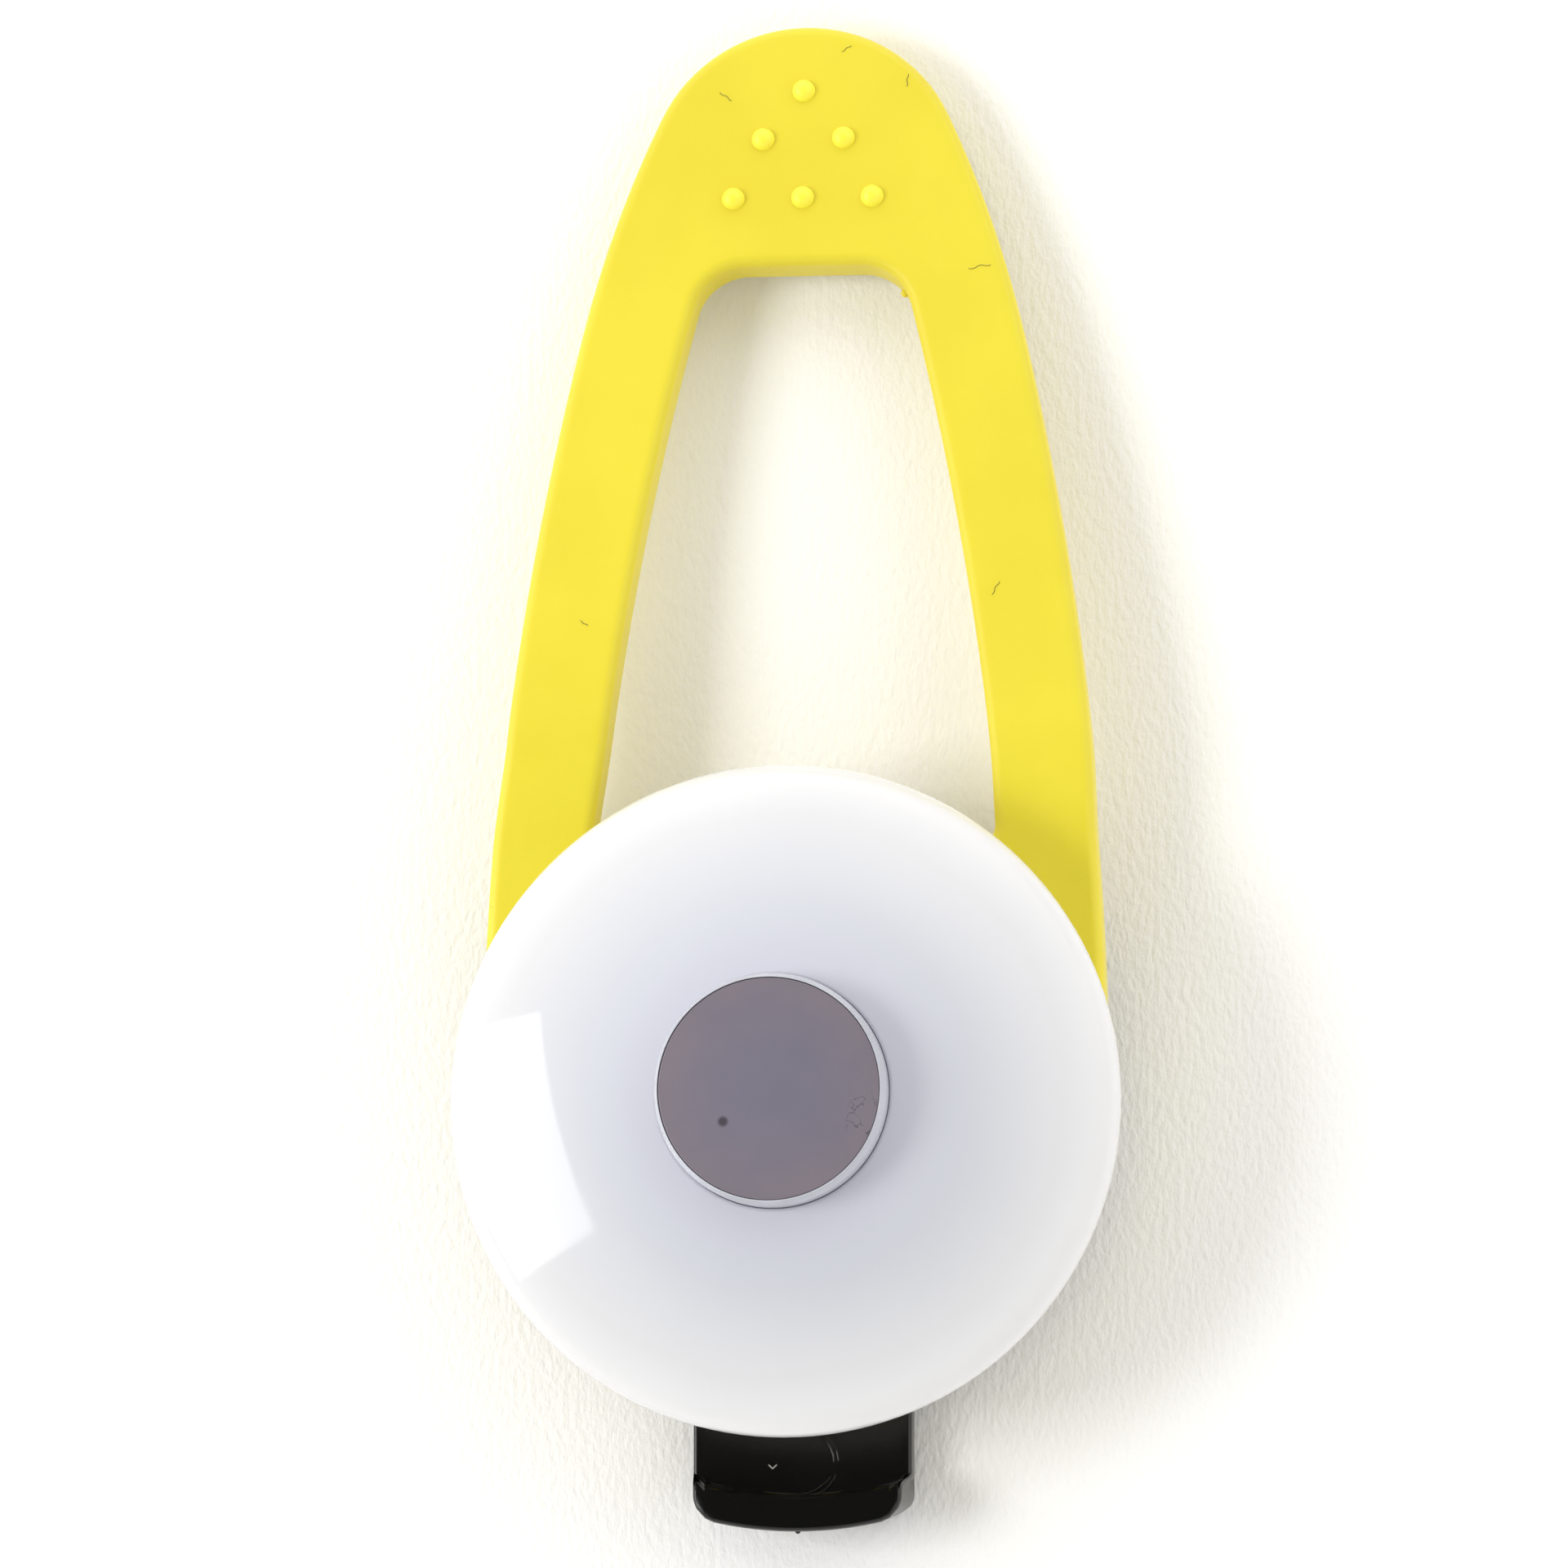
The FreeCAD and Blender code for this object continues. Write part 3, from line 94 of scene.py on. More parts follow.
# ---------------------------------------------------------------------------------------------
# Node trees
# ---------------------------------------------------------------------------------------------
class Value:
    """A number socket that takes part in Python arithmetic by adding Math nodes to its tree."""

    def __init__(self, tree: Tree, socket: bpy.types.NodeSocket) -> None:
        """Wraps a socket.

        Args:
            tree: the tree that the socket belongs to.
            socket: an output socket that carries a number.
        """
        self.tree = tree
        self.socket = socket

    def math(self, operation: str, *others: Value | float) -> Value:
        """Adds a Math node on this socket and the others.

        Args:
            operation: the Math node's operation.
            others: further operands.

        Returns:
            The node's result.
        """
        inputs = dict(enumerate([self, *others]))
        return self.tree.value("ShaderNodeMath", {"operation": operation}, inputs)

    def __add__(self, other: Value | float) -> Value:
        """This plus the other."""
        return self.math("ADD", other)

    __radd__ = __add__

    def __sub__(self, other: Value | float) -> Value:
        """This minus the other."""
        return self.math("SUBTRACT", other)

    def __rsub__(self, other: float) -> Value:
        """The other minus this."""
        return self.math("MULTIPLY", -1.0) + other

    def __mul__(self, other: Value | float) -> Value:
        """This times the other."""
        return self.math("MULTIPLY", other)

    __rmul__ = __mul__

    def __truediv__(self, other: Value | float) -> Value:
        """This over the other."""
        return self.math("DIVIDE", other)

    def smooth(self, low: float, high: float) -> Value:
        """A soft step.

        Args:
            low: where it begins to rise from 0.
            high: where it reaches 1.

        Returns:
            The step's value.
        """
        settings = {"interpolation_type": "SMOOTHSTEP"}
        return self.tree.value(
            "ShaderNodeMapRange", settings, {"Value": self, "From Min": low, "From Max": high}
        )

    def below(self, limit: float, edge: float) -> Value:
        """1 where this is under the limit, falling to 0 over the edge's width."""
        return 1 - self.smooth(limit, limit + edge)


class Tree:
    """A node tree, with one method that adds any node."""

    def __init__(self, tree: bpy.types.NodeTree) -> None:
        """Wraps a node tree."""
        self.tree = tree

    def node(self, kind: str, settings: dict | None = None, inputs: dict | None = None) -> bpy.types.Node:
        """Adds a node, sets it up and fills its sockets.

        Args:
            kind: the node's type.
            settings: the node's own properties; "stops" lists a colour ramp's (place, colour) pairs.
            inputs: socket name or number to a constant, a Value or an output socket.

        Returns:
            The new node.
        """
        made = self.tree.nodes.new(kind)
        for name, setting in (settings or {}).items():
            if name == "stops":
                self.set_stops(made.color_ramp, setting)
            else:
                setattr(made, name, setting)
        for key, item in (inputs or {}).items():
            target = made.inputs[key]
            if isinstance(item, Value):
                self.tree.links.new(item.socket, target)
            elif isinstance(item, bpy.types.NodeSocket):
                self.tree.links.new(item, target)
            else:
                target.default_value = item
        return made

    @staticmethod
    def set_stops(ramp: bpy.types.ColorRamp, stops: Sequence[tuple[float, Colour]]) -> None:
        """Gives a colour ramp its stops.

        Args:
            ramp: a ramp with its two first stops.
            stops: (place, colour) pairs in order.
        """
        while len(ramp.elements) < len(stops):
            ramp.elements.new(0.5)
        for element, (place, colour) in zip(ramp.elements, stops):
            element.position = place
            element.color = (*colour, 1.0)

    def value(self, kind: str, settings: dict | None = None, inputs: dict | None = None) -> Value:
        """Adds a node and returns its first output for arithmetic."""
        return Value(self, self.node(kind, settings, inputs).outputs[0])


class Shader(Tree):
    """A material under construction, on the object's own coordinates."""

    def __init__(self, name: str) -> None:
        """Starts an empty material.

        Args:
            name: the material's name.
        """
        self.material = bpy.data.materials.new(name)
        self.material.use_nodes = True
        super().__init__(self.material.node_tree)
        self.tree.nodes.clear()
        self.place = self.node("ShaderNodeTexCoord").outputs["Object"]

    def axis(self, letter: str) -> Value:
        """The object coordinate along X, Y or Z, in metres."""
        split = self.node("ShaderNodeSeparateXYZ", None, {0: self.place})
        return Value(self, split.outputs[letter])

    def noise(self, size: float, detail: float = 2.0, stretch: Colour = (1.0, 1.0, 1.0)) -> Value:
        """Noise whose features are about as large as size.

        Args:
            size: feature size, in metres.
            detail: octaves.
            stretch: scale of each axis; below 1 draws the features out.

        Returns:
            The noise, from 0 to 1.
        """
        mapped = self.node("ShaderNodeMapping", None, {"Vector": self.place, "Scale": stretch})
        inputs = {"Vector": mapped.outputs[0], "Scale": 1.0 / size, "Detail": detail}
        return self.value("ShaderNodeTexNoise", None, inputs)

    def cells(self, size: float) -> Value:
        """Distance to the nearest of many scattered points, in cell widths."""
        inputs = {"Vector": self.place, "Scale": 1.0 / size}
        return self.value("ShaderNodeTexVoronoi", None, inputs)

    def away_from(self, centre: Sequence[float], squeeze: Colour = (1.0, 1.0, 1.0)) -> Value:
        """Distance from a point, in metres.

        Args:
            centre: the point.
            squeeze: weight of each axis.

        Returns:
            The distance.
        """
        moved = self.node(
            "ShaderNodeVectorMath", {"operation": "SUBTRACT"}, {0: self.place, 1: tuple(centre)}
        )
        weighted = self.node(
            "ShaderNodeVectorMath", {"operation": "MULTIPLY"}, {0: moved.outputs[0], 1: squeeze}
        )
        length = self.node("ShaderNodeVectorMath", {"operation": "LENGTH"}, {0: weighted.outputs[0]})
        return Value(self, length.outputs["Value"])

    def ramp(self, factor: Value, stops: Sequence[tuple[float, Colour]]) -> bpy.types.NodeSocket:
        """Colours along a factor."""
        return self.node("ShaderNodeValToRGB", {"stops": stops}, {"Fac": factor}).outputs["Color"]

    def mix(self, factor: Value, first: object, second: object) -> bpy.types.NodeSocket:
        """Blends two colours.

        Args:
            factor: 0 for the first, 1 for the second.
            first: a colour, or a socket that carries one.
            second: the same.

        Returns:
            The blend.
        """
        colours = [(*c, 1.0) if isinstance(c, tuple) else c for c in (first, second)]
        inputs = {0: factor, 6: colours[0], 7: colours[1]}
        return self.node("ShaderNodeMix", {"data_type": "RGBA"}, inputs).outputs[2]

    def bump(self, height: Value, depth: float) -> bpy.types.NodeSocket:
        """A normal from a height between 0 and 1, depth metres tall."""
        return self.node("ShaderNodeBump", None, {"Height": height, "Distance": depth}).outputs[0]

    def finish(self, inputs: dict) -> bpy.types.Material:
        """Adds the surface shader with these inputs.

        Args:
            inputs: Principled BSDF socket to a constant or a link.

        Returns:
            The finished material.
        """
        surface = self.node("ShaderNodeBsdfPrincipled", None, inputs)
        self.node("ShaderNodeOutputMaterial", None, {0: surface.outputs[0]})
        return self.material


# ---------------------------------------------------------------------------------------------
# Finishes
# ---------------------------------------------------------------------------------------------
@dataclass(frozen=True)
class Silicone:
    """Soft moulded silicone: even colour, fine matt grain, faint handling marks and specks."""

    name: str = "yellow_silicone"
    colour: Colour = (0.74, 0.63, 0.034)
    deep: Colour = (0.69, 0.57, 0.028)
    roughness: float = 0.46
    speck: Colour = (0.42, 0.36, 0.05)
    speck_pitch: float = 2.6 * MM
    cloud: float = 7 * MM
    rub: float = 1.4 * MM
    grain: float = 0.09 * MM
    grain_depth: float = 0.006 * MM

    def make(self) -> bpy.types.Material:
        """Builds the material.

        Returns:
            The finished material.
        """
        shader = Shader(self.name)
        clouds = shader.noise(self.cloud, 3.0)
        grain = shader.noise(self.grain, 3.0)
        mottled = shader.mix(clouds.smooth(0.3, 0.75) * 0.7, self.colour, self.deep)
        specks = shader.cells(self.speck_pitch).below(0.012, 0.02)
        spotted = shader.mix(specks * 0.55, mottled, self.speck)
        rubbed = shader.noise(self.rub, 4.0, (1.0, 0.25, 1.0))
        rough = rubbed * 0.16 + (self.roughness - 0.08) + grain * 0.06
        return shader.finish(
            {
                "Base Color": spotted,
                "Roughness": rough,
                "Specular IOR Level": 0.38,
                "Sheen Weight": 0.12,
                "Sheen Roughness": 0.4,
                "Normal": shader.bump(grain, self.grain_depth),
            }
        )


@dataclass(frozen=True)
class Diffuser:
    """Glossy white diffuser: milky, cooler near the button where the lamp's works show through, with painted
    light: a brighter rim edge and a lighter band that offsets the button's shade.
    """

    name: str = "milky_diffuser"
    # Painted light: the outermost band is painted brighter, standing in for the light that the rim catches.
    edge: Colour = (0.73, 0.73, 0.735)
    rim: Colour = (0.65, 0.65, 0.665)
    crown: Colour = (0.565, 0.582, 0.628)
    # Painted light: the band next to the button is painted a little lighter than the crown, against the shade
    # that the button throws; its cooler tint is the works showing through.
    deep: Colour = (0.575, 0.585, 0.66)
    stops: tuple[float, ...] = (0.30, 0.58, 0.84, 0.97)
    radius: float = 15.5 * MM
    roughness: float = 0.055
    cloud: float = 9 * MM
    dust: Colour = (0.45, 0.46, 0.5)
    dust_pitch: float = 3.1 * MM
    smear: float = 4 * MM
    pit: float = 0.25 * MM
    pit_depth: float = 0.0006 * MM
    scatter: float = 0.6 * MM

    def make(self) -> bpy.types.Material:
        """Builds the material.

        Returns:
            The finished material.
        """
        shader = Shader(self.name)
        across = shader.away_from((0.0, 0.0, 0.0), (1.0, 1.0, 0.0)) / self.radius
        clouds = shader.noise(self.cloud, 2.0)
        tone = across + (clouds - 0.5) * 0.08
        # The radial ramp is partly tone and partly painted light: a lit rim edge and a lightened band beside
        # the button.
        milky_with_painted_light = shader.ramp(tone, list(zip(self.stops, (self.deep, self.crown, self.rim, self.edge))))
        dust = shader.cells(self.dust_pitch).below(0.006, 0.012)
        dusty = shader.mix(dust * 0.4, milky_with_painted_light, self.dust)
        smear = shader.noise(self.smear, 5.0, (1.0, 0.35, 1.0)).smooth(0.5, 0.8)
        pits = shader.noise(self.pit, 2.0)
        return shader.finish(
            {
                "Base Color": dusty,
                "Roughness": smear * 0.07 + self.roughness,
                "IOR": 1.49,
                "Subsurface Weight": 0.25,
                "Subsurface Radius": (0.9, 0.95, 1.0),
                "Subsurface Scale": self.scatter,
                "Normal": shader.bump(pits, self.pit_depth),
            }
        )


@dataclass(frozen=True)
class Moulded:
    """Moulded plastic: colour with slight flow marks, fine scuffs and a little dust."""

    name: str
    colour: Colour
    roughness: float = 0.22
    scuff: float = 0.12
    dust: Colour = (0.30, 0.30, 0.29)
    dust_amount: float = 0.35
    grain: float = 0.3 * MM
    depth: float = 0.002 * MM
    flow: float = 5 * MM
    speck_pitch: float = 1.3 * MM
    scratch: float = 0.35 * MM

    def make(self) -> bpy.types.Material:
        """Builds the material.

        Returns:
            The finished material.
        """
        shader = Shader(self.name)
        flow = shader.noise(self.flow, 3.0, (1.0, 0.4, 1.0))
        lighter = tuple(min(c * 1.7 + 0.004, 1.0) for c in self.colour)
        toned = shader.mix(flow.smooth(0.35, 0.8) * 0.6, self.colour, lighter)
        specks = shader.cells(self.speck_pitch).below(0.014, 0.02)
        dusty = shader.mix(specks * self.dust_amount, toned, self.dust)
        scratches = shader.noise(self.scratch, 3.0, (1.0, 0.06, 1.0)).smooth(0.58, 0.78)
        grain = shader.noise(self.grain, 3.0)
        return shader.finish(
            {
                "Base Color": dusty,
                "Roughness": flow * 0.08 + scratches * self.scuff + (self.roughness - 0.04),
                "IOR": 1.52,
                "Normal": shader.bump(grain + scratches * 0.6, self.depth),
            }
        )


@dataclass(frozen=True)
class HookPlastic:
    """The base's gloss plastic with the moulding's ejector ring, a V-shaped scuff and a little dust."""

    name: str = "hook_plastic"
    colour: Colour = (0.003, 0.0027, 0.0025)
    mark: tuple[float, float, float] = (0.05 * MM, -16.35 * MM, 2.0 * MM)
    ring: float = 1.45 * MM
    outer_ring: float = 1.14
    ring_width: float = 0.05 * MM
    wobble: float = 0.2 * MM
    wobble_size: float = 0.5 * MM
    patch: float = 0.9 * MM
    worn_from: tuple[float, float] = (-0.3 * MM, 0.6 * MM)
    flow: float = 4 * MM
    scuff: tuple[float, float, float] = (-1.38 * MM, -16.66 * MM, 2.0 * MM)
    scuff_reach: float = 0.2 * MM
    scuff_line: float = 0.02 * MM
    scuff_colour: Colour = (0.5, 0.5, 0.48)
    dust: Colour = (0.35, 0.34, 0.33)
    dust_pitch: float = 0.7 * MM
    dust_patch: float = 1.5 * MM
    grain: float = 0.12 * MM
    depth: float = 0.009 * MM

    def make(self) -> bpy.types.Material:
        """Builds the material.

        Returns:
            The finished material.
        """
        shader = Shader(self.name)
        flow = shader.noise(self.flow, 3.0, (1.0, 0.4, 1.0))
        out = shader.away_from(self.mark)
        wobble = (shader.noise(self.wobble_size, 2.0) - 0.5) * self.wobble
        patchy = shader.noise(self.patch, 2.0).smooth(0.42, 0.62)
        worn_side = shader.axis("X").smooth(*self.worn_from)
        ring = (out + wobble - self.ring).math("ABSOLUTE").below(0.0, self.ring_width)
        second = (out + wobble - self.ring * self.outer_ring).math("ABSOLUTE").below(0.0, self.ring_width)
        across = (shader.axis("X") - self.scuff[0] + wobble * 0.3).math("ABSOLUTE")
        along = shader.axis("Y") - self.scuff[1]
        near = shader.away_from(self.scuff).below(self.scuff_reach, self.scuff_reach / 2)
        line = (along - across * 0.9).math("ABSOLUTE").below(self.scuff_line, self.scuff_line * 2)
        scuff = line * near
        gathered = shader.noise(self.dust_patch).smooth(0.45, 0.6)
        dust = shader.cells(self.dust_pitch).below(0.02, 0.03) * gathered
        dusty = shader.mix(dust * 0.16, self.colour, self.dust)
        scuffed = shader.mix(scuff * 0.8, dusty, self.scuff_colour)
        grain = shader.noise(self.grain, 2.0)
        height = (ring * 2.2 + second * 1.5) * patchy * worn_side + grain * 0.12 + scuff * 1.2
        return shader.finish(
            {
                "Base Color": scuffed,
                "Roughness": flow * 0.1 + grain * 0.05 + 0.14,
                "Specular IOR Level": 0.4,
                "Normal": shader.bump(height, self.depth),
            }
        )


@dataclass(frozen=True)
class SatinDisc:
    """Anodised disc: grey-violet, very fine grain, one dark pit and hairline scratches."""

    name: str = "satin_disc"
    colour: Colour = (0.225, 0.208, 0.27)
    warm: Colour = (0.25, 0.215, 0.25)
    radius: float = 5.05 * MM
    pit: tuple[float, float, float] = (-2.07 * MM, -1.48 * MM, 15.75 * MM)
    pit_size: tuple[float, float] = (0.12 * MM, 0.2 * MM)
    pit_colour: Colour = (0.045, 0.04, 0.05)
    worn: tuple[float, float, float] = (4.3 * MM, -1.7 * MM, 15.75 * MM)
    worn_size: tuple[float, float] = (0.9 * MM, 0.5 * MM)
    worn_colour: Colour = (0.08, 0.07, 0.09)
    glint: Colour = (0.42, 0.39, 0.45)
    cloud: float = 2.4 * MM
    wander: float = 1.1 * MM
    grain: float = 0.05 * MM
    depth: float = 0.002 * MM

    def make(self) -> bpy.types.Material:
        """Builds the material.

        Returns:
            The finished material.
        """
        shader = Shader(self.name)
        across = shader.away_from((0.0, 0.0, 0.0), (1.0, 1.0, 0.0)) / self.radius
        clouds = shader.noise(self.cloud, 3.0)
        toned = shader.mix((across * 0.7 + clouds * 0.5).smooth(0.45, 1.1), self.colour, self.warm)
        grain = shader.noise(self.grain, 2.0)
        speckled = shader.mix(grain.smooth(0.55, 0.8) * 0.18, toned, self.glint)
        pit = shader.away_from(self.pit).below(*self.pit_size)
        pitted = shader.mix(pit * 0.8, speckled, self.pit_colour)
        wander = shader.noise(self.wander, 3.0)
        worn = shader.away_from(self.worn, (1.6, 0.7, 1.0)).below(*self.worn_size)
        line = (wander - 0.5).math("ABSOLUTE").below(0.006, 0.01) * worn
        scratched = shader.mix(line * 0.6, pitted, self.worn_colour)
        return shader.finish(
            {
                "Base Color": scratched,
                "Metallic": 0.45,
                "Roughness": clouds * 0.10 + grain * 0.05 + 0.34,
                "Normal": shader.bump(grain + line * 2.0 + pit * 3.0, self.depth),
            }
        )


@dataclass(frozen=True)
class Metal:
    """Plated or bare sheet metal with fine drawn lines and handling stains."""

    name: str
    colour: Colour = (0.62, 0.61, 0.58)
    roughness: float = 0.24
    drawn: Colour = (1.0, 0.05, 1.0)
    line: float = 0.06 * MM
    stain: float = 2.2 * MM
    depth: float = 0.002 * MM

    def make(self) -> bpy.types.Material:
        """Builds the material.

        Returns:
            The finished material.
        """
        shader = Shader(self.name)
        lines = shader.noise(self.line, 2.0, self.drawn)
        stains = shader.noise(self.stain, 4.0)
        darker = tuple(c * 0.72 for c in self.colour)
        toned = shader.mix(stains.smooth(0.45, 0.8) * 0.7, self.colour, darker)
        return shader.finish(
            {
                "Base Color": toned,
                "Metallic": 1.0,
                "Roughness": lines * 0.12 + stains * 0.14 + (self.roughness - 0.1),
                "Normal": shader.bump(lines, self.depth),
            }
        )


@dataclass(frozen=True)
class BoardFinish:
    """White solder mask with printed copper tracks just showing and scattered plated holes."""

    name: str = "white_board"
    mask: Colour = (0.80, 0.82, 0.78)
    track: Colour = (0.62, 0.66, 0.52)
    plating: Colour = (0.72, 0.52, 0.24)
    track_size: float = 2.0 * MM
    hole_pitch: float = 1.6 * MM
    depth: float = 0.02 * MM

    def make(self) -> bpy.types.Material:
        """Builds the material.

        Returns:
            The finished material.
        """
        shader = Shader(self.name)
        wander = shader.noise(self.track_size, 0.0)
        tracks = (wander - 0.5).math("ABSOLUTE").below(0.02, 0.01)
        holes = shader.cells(self.hole_pitch).below(0.10, 0.03)
        masked = shader.mix(tracks * 0.5, self.mask, self.track)
        board = shader.mix(holes, masked, self.plating)
        return shader.finish(
            {
                "Base Color": board,
                "Metallic": holes * 0.9,
                "Roughness": wander * 0.1 + 0.28,
                "Normal": shader.bump(tracks * 0.5 - holes, self.depth),
            }
        )


@dataclass(frozen=True)
class Paper:
    """Warm white, slightly rough sheet that the lamp lies on."""

    name: str = "paper_floor"
    colour: Colour = (0.955, 0.95, 0.938)
    fibre: float = 0.3 * MM
    cloud: float = 60 * MM
    depth: float = 0.07 * MM

    def make(self) -> bpy.types.Material:
        """Builds the material.

        Returns:
            The finished material.
        """
        shader = Shader(self.name)
        fibre = shader.noise(self.fibre, 3.0, (1.0, 0.5, 1.0))
        cloud = shader.noise(self.cloud, 2.0)
        darker = tuple(c * 0.965 for c in self.colour)
        return shader.finish(
            {
                "Base Color": shader.mix(cloud.smooth(0.3, 0.7), self.colour, darker),
                "Roughness": fibre * 0.1 + 0.85,
                "Specular IOR Level": 0.2,
                "Normal": shader.bump(fibre, self.depth),
            }
        )


class Finish(Enum):
    """Every finish on the lamp, by the piece or stock that wears it."""

    SILICONE = Silicone()
    # Painted light: the grip dots wear a lighter copy of the yellow silicone, standing in for the light that
    # their raised tops catch; the lower roughness is their polish.
    DOTS = Silicone("polished_silicone", (0.92, 0.83, 0.06), (0.90, 0.80, 0.055), 0.36)
    LINT = Moulded("lint", (0.10, 0.09, 0.03), 0.8)
    DIFFUSER = Diffuser()
    BUTTON = Moulded("clear_white_plastic", (0.42, 0.43, 0.475), 0.10, 0.08, (0.5, 0.5, 0.52), 0.15)
    DISC = SatinDisc()
    BLACK = Moulded("gloss_black_plastic", (0.003, 0.0027, 0.0025), 0.15, 0.16)
    HOOK = HookPlastic()
    DOOR = Moulded("satin_black_plastic", (0.010, 0.010, 0.011), 0.34, 0.2, depth=0.006 * MM)
    SEAL = Moulded("nitrile_rubber", (0.018, 0.018, 0.018), 0.6, 0.1, depth=0.008 * MM)
    NICKEL = Metal("nickel_plate")
    SPRING = Metal("spring_strip", (0.66, 0.60, 0.48), 0.2)
    TIN = Metal("tinned_lead", (0.70, 0.70, 0.71), 0.16)
    GASKET = Moulded("cell_gasket", (0.05, 0.05, 0.055), 0.45)
    CORE = Moulded("pressed_powder", (0.02, 0.02, 0.02), 0.9, depth=0.03 * MM)
    BOARD = BoardFinish()
    PACKAGE = Moulded("lamp_package", (0.80, 0.80, 0.78), 0.4)
    PHOSPHOR = Moulded("phosphor_resin", (0.85, 0.62, 0.10), 0.12)
    EPOXY = Moulded("chip_epoxy", (0.012, 0.012, 0.013), 0.55, depth=0.01 * MM)
    RESISTOR = Moulded("resistor_glaze", (0.015, 0.015, 0.02), 0.3)
    CERAMIC = Moulded("capacitor_ceramic", (0.33, 0.20, 0.11), 0.35)
    NYLON = Moulded("switch_nylon", (0.016, 0.016, 0.017), 0.5)
    ACETAL = Moulded("switch_acetal", (0.72, 0.72, 0.70), 0.35)

    def material(self) -> bpy.types.Material:
        """The finish's material, made the first time that it is asked for."""
        return bpy.data.materials.get(self.value.name) or self.value.make()


# ---------------------------------------------------------------------------------------------
# Outlines and meshes
# ---------------------------------------------------------------------------------------------
@dataclass(frozen=True)
class Corner:
    """A corner of an outline; round is the radius that its two straight neighbours are joined by."""

    x: float
    y: float
    round: float = 0.0


def rounded(corners: Sequence[Corner]) -> list[Point]:
    """A closed outline of straight sides with each corner turned by its own radius.

    Args:
        corners: the outline's corners in order.

    Returns:
        The outline's points, without a repeat of the first.
    """
    points: list[Point] = []
    count = len(corners)
    for i, corner in enumerate(corners):
        here = Vector((corner.x, corner.y))
        if corner.round <= 0:
            points.append((here.x, here.y))
            continue
        before, after = (
            Vector((corners[(i + s) % count].x, corners[(i + s) % count].y)) - here for s in (-1, 1)
        )
        before.normalize()
        after.normalize()
        half = before.angle(after) / 2
        reach = corner.round / math.tan(half)
        centre = here + (before + after).normalized() * (corner.round / math.sin(half))
        start = here + before * reach - centre
        end = here + after * reach - centre
        sweep = start.angle(end)
        steps = max(2, round(sweep / ARC_STEP))
        for k in range(steps + 1):
            spoke = start.normalized().slerp(end.normalized(), k / steps) * corner.round
            points.append((centre.x + spoke.x, centre.y + spoke.y))
    return points


def eased(t: float) -> float:
    """A soft step: 0 up to t = 0, 1 from t = 1."""
    held = min(max(t, 0.0), 1.0)
    return held * held * (3 - 2 * held)


def crossings(first: Vector, near: float, second: Vector, far: float) -> tuple[Vector, Vector]:
    """The two points where two circles cross.

    Args:
        first: centre of the first circle.
        near: its radius.
        second: centre of the second circle.
        far: its radius.

    Returns:
        The points, the one left of the way from first to second before the other.
    """
    span = second - first
    along = (near**2 - far**2 + span.length_squared) / (2 * span.length)
    off = math.sqrt(near**2 - along**2)
    unit = span.normalized()
    side = Vector((-unit.y, unit.x))
    left, right = (first + unit * along + side * (s * off) for s in (1, -1))
    return left, right


def arc(centre: Point, radius: float, start: float, end: float, step: float = ARC_STEP) -> list[Point]:
    """Points along an arc.

    Args:
        centre: the arc's centre.
        radius: its radius.
        start: first angle, in radians.
        end: last angle; less than start for a clockwise arc.
        step: largest angle between points.

    Returns:
        The points, both ends included.
    """
    steps = max(1, math.ceil(abs(end - start) / step))
    angles = [start + (end - start) * k / steps for k in range(steps + 1)]
    return [(centre[0] + radius * math.cos(a), centre[1] + radius * math.sin(a)) for a in angles]


def new_object(name: str, mesh: bpy.types.Mesh) -> bpy.types.Object:
    """Links a mesh to the scene as an object at the origin.

    Args:
        name: the object's name.
        mesh: its mesh.

    Returns:
        The object.
    """
    made = bpy.data.objects.new(name, mesh)
    bpy.context.scene.collection.objects.link(made)
    return made


def from_bmesh(name: str, shape: bmesh.types.BMesh, finish: Finish) -> bpy.types.Object:
    """Turns a bmesh into a finished object.

    Args:
        name: the object's name.
        shape: its geometry, freed here.
        finish: its finish.

    Returns:
        The object, smooth up to SMOOTH_ANGLE.
    """
    mesh = bpy.data.meshes.new(name)
    shape.to_mesh(mesh)
    shape.free()
    mesh.materials.append(finish.material())
    mesh.set_sharp_from_angle(angle=SMOOTH_ANGLE)
    return new_object(name, mesh)


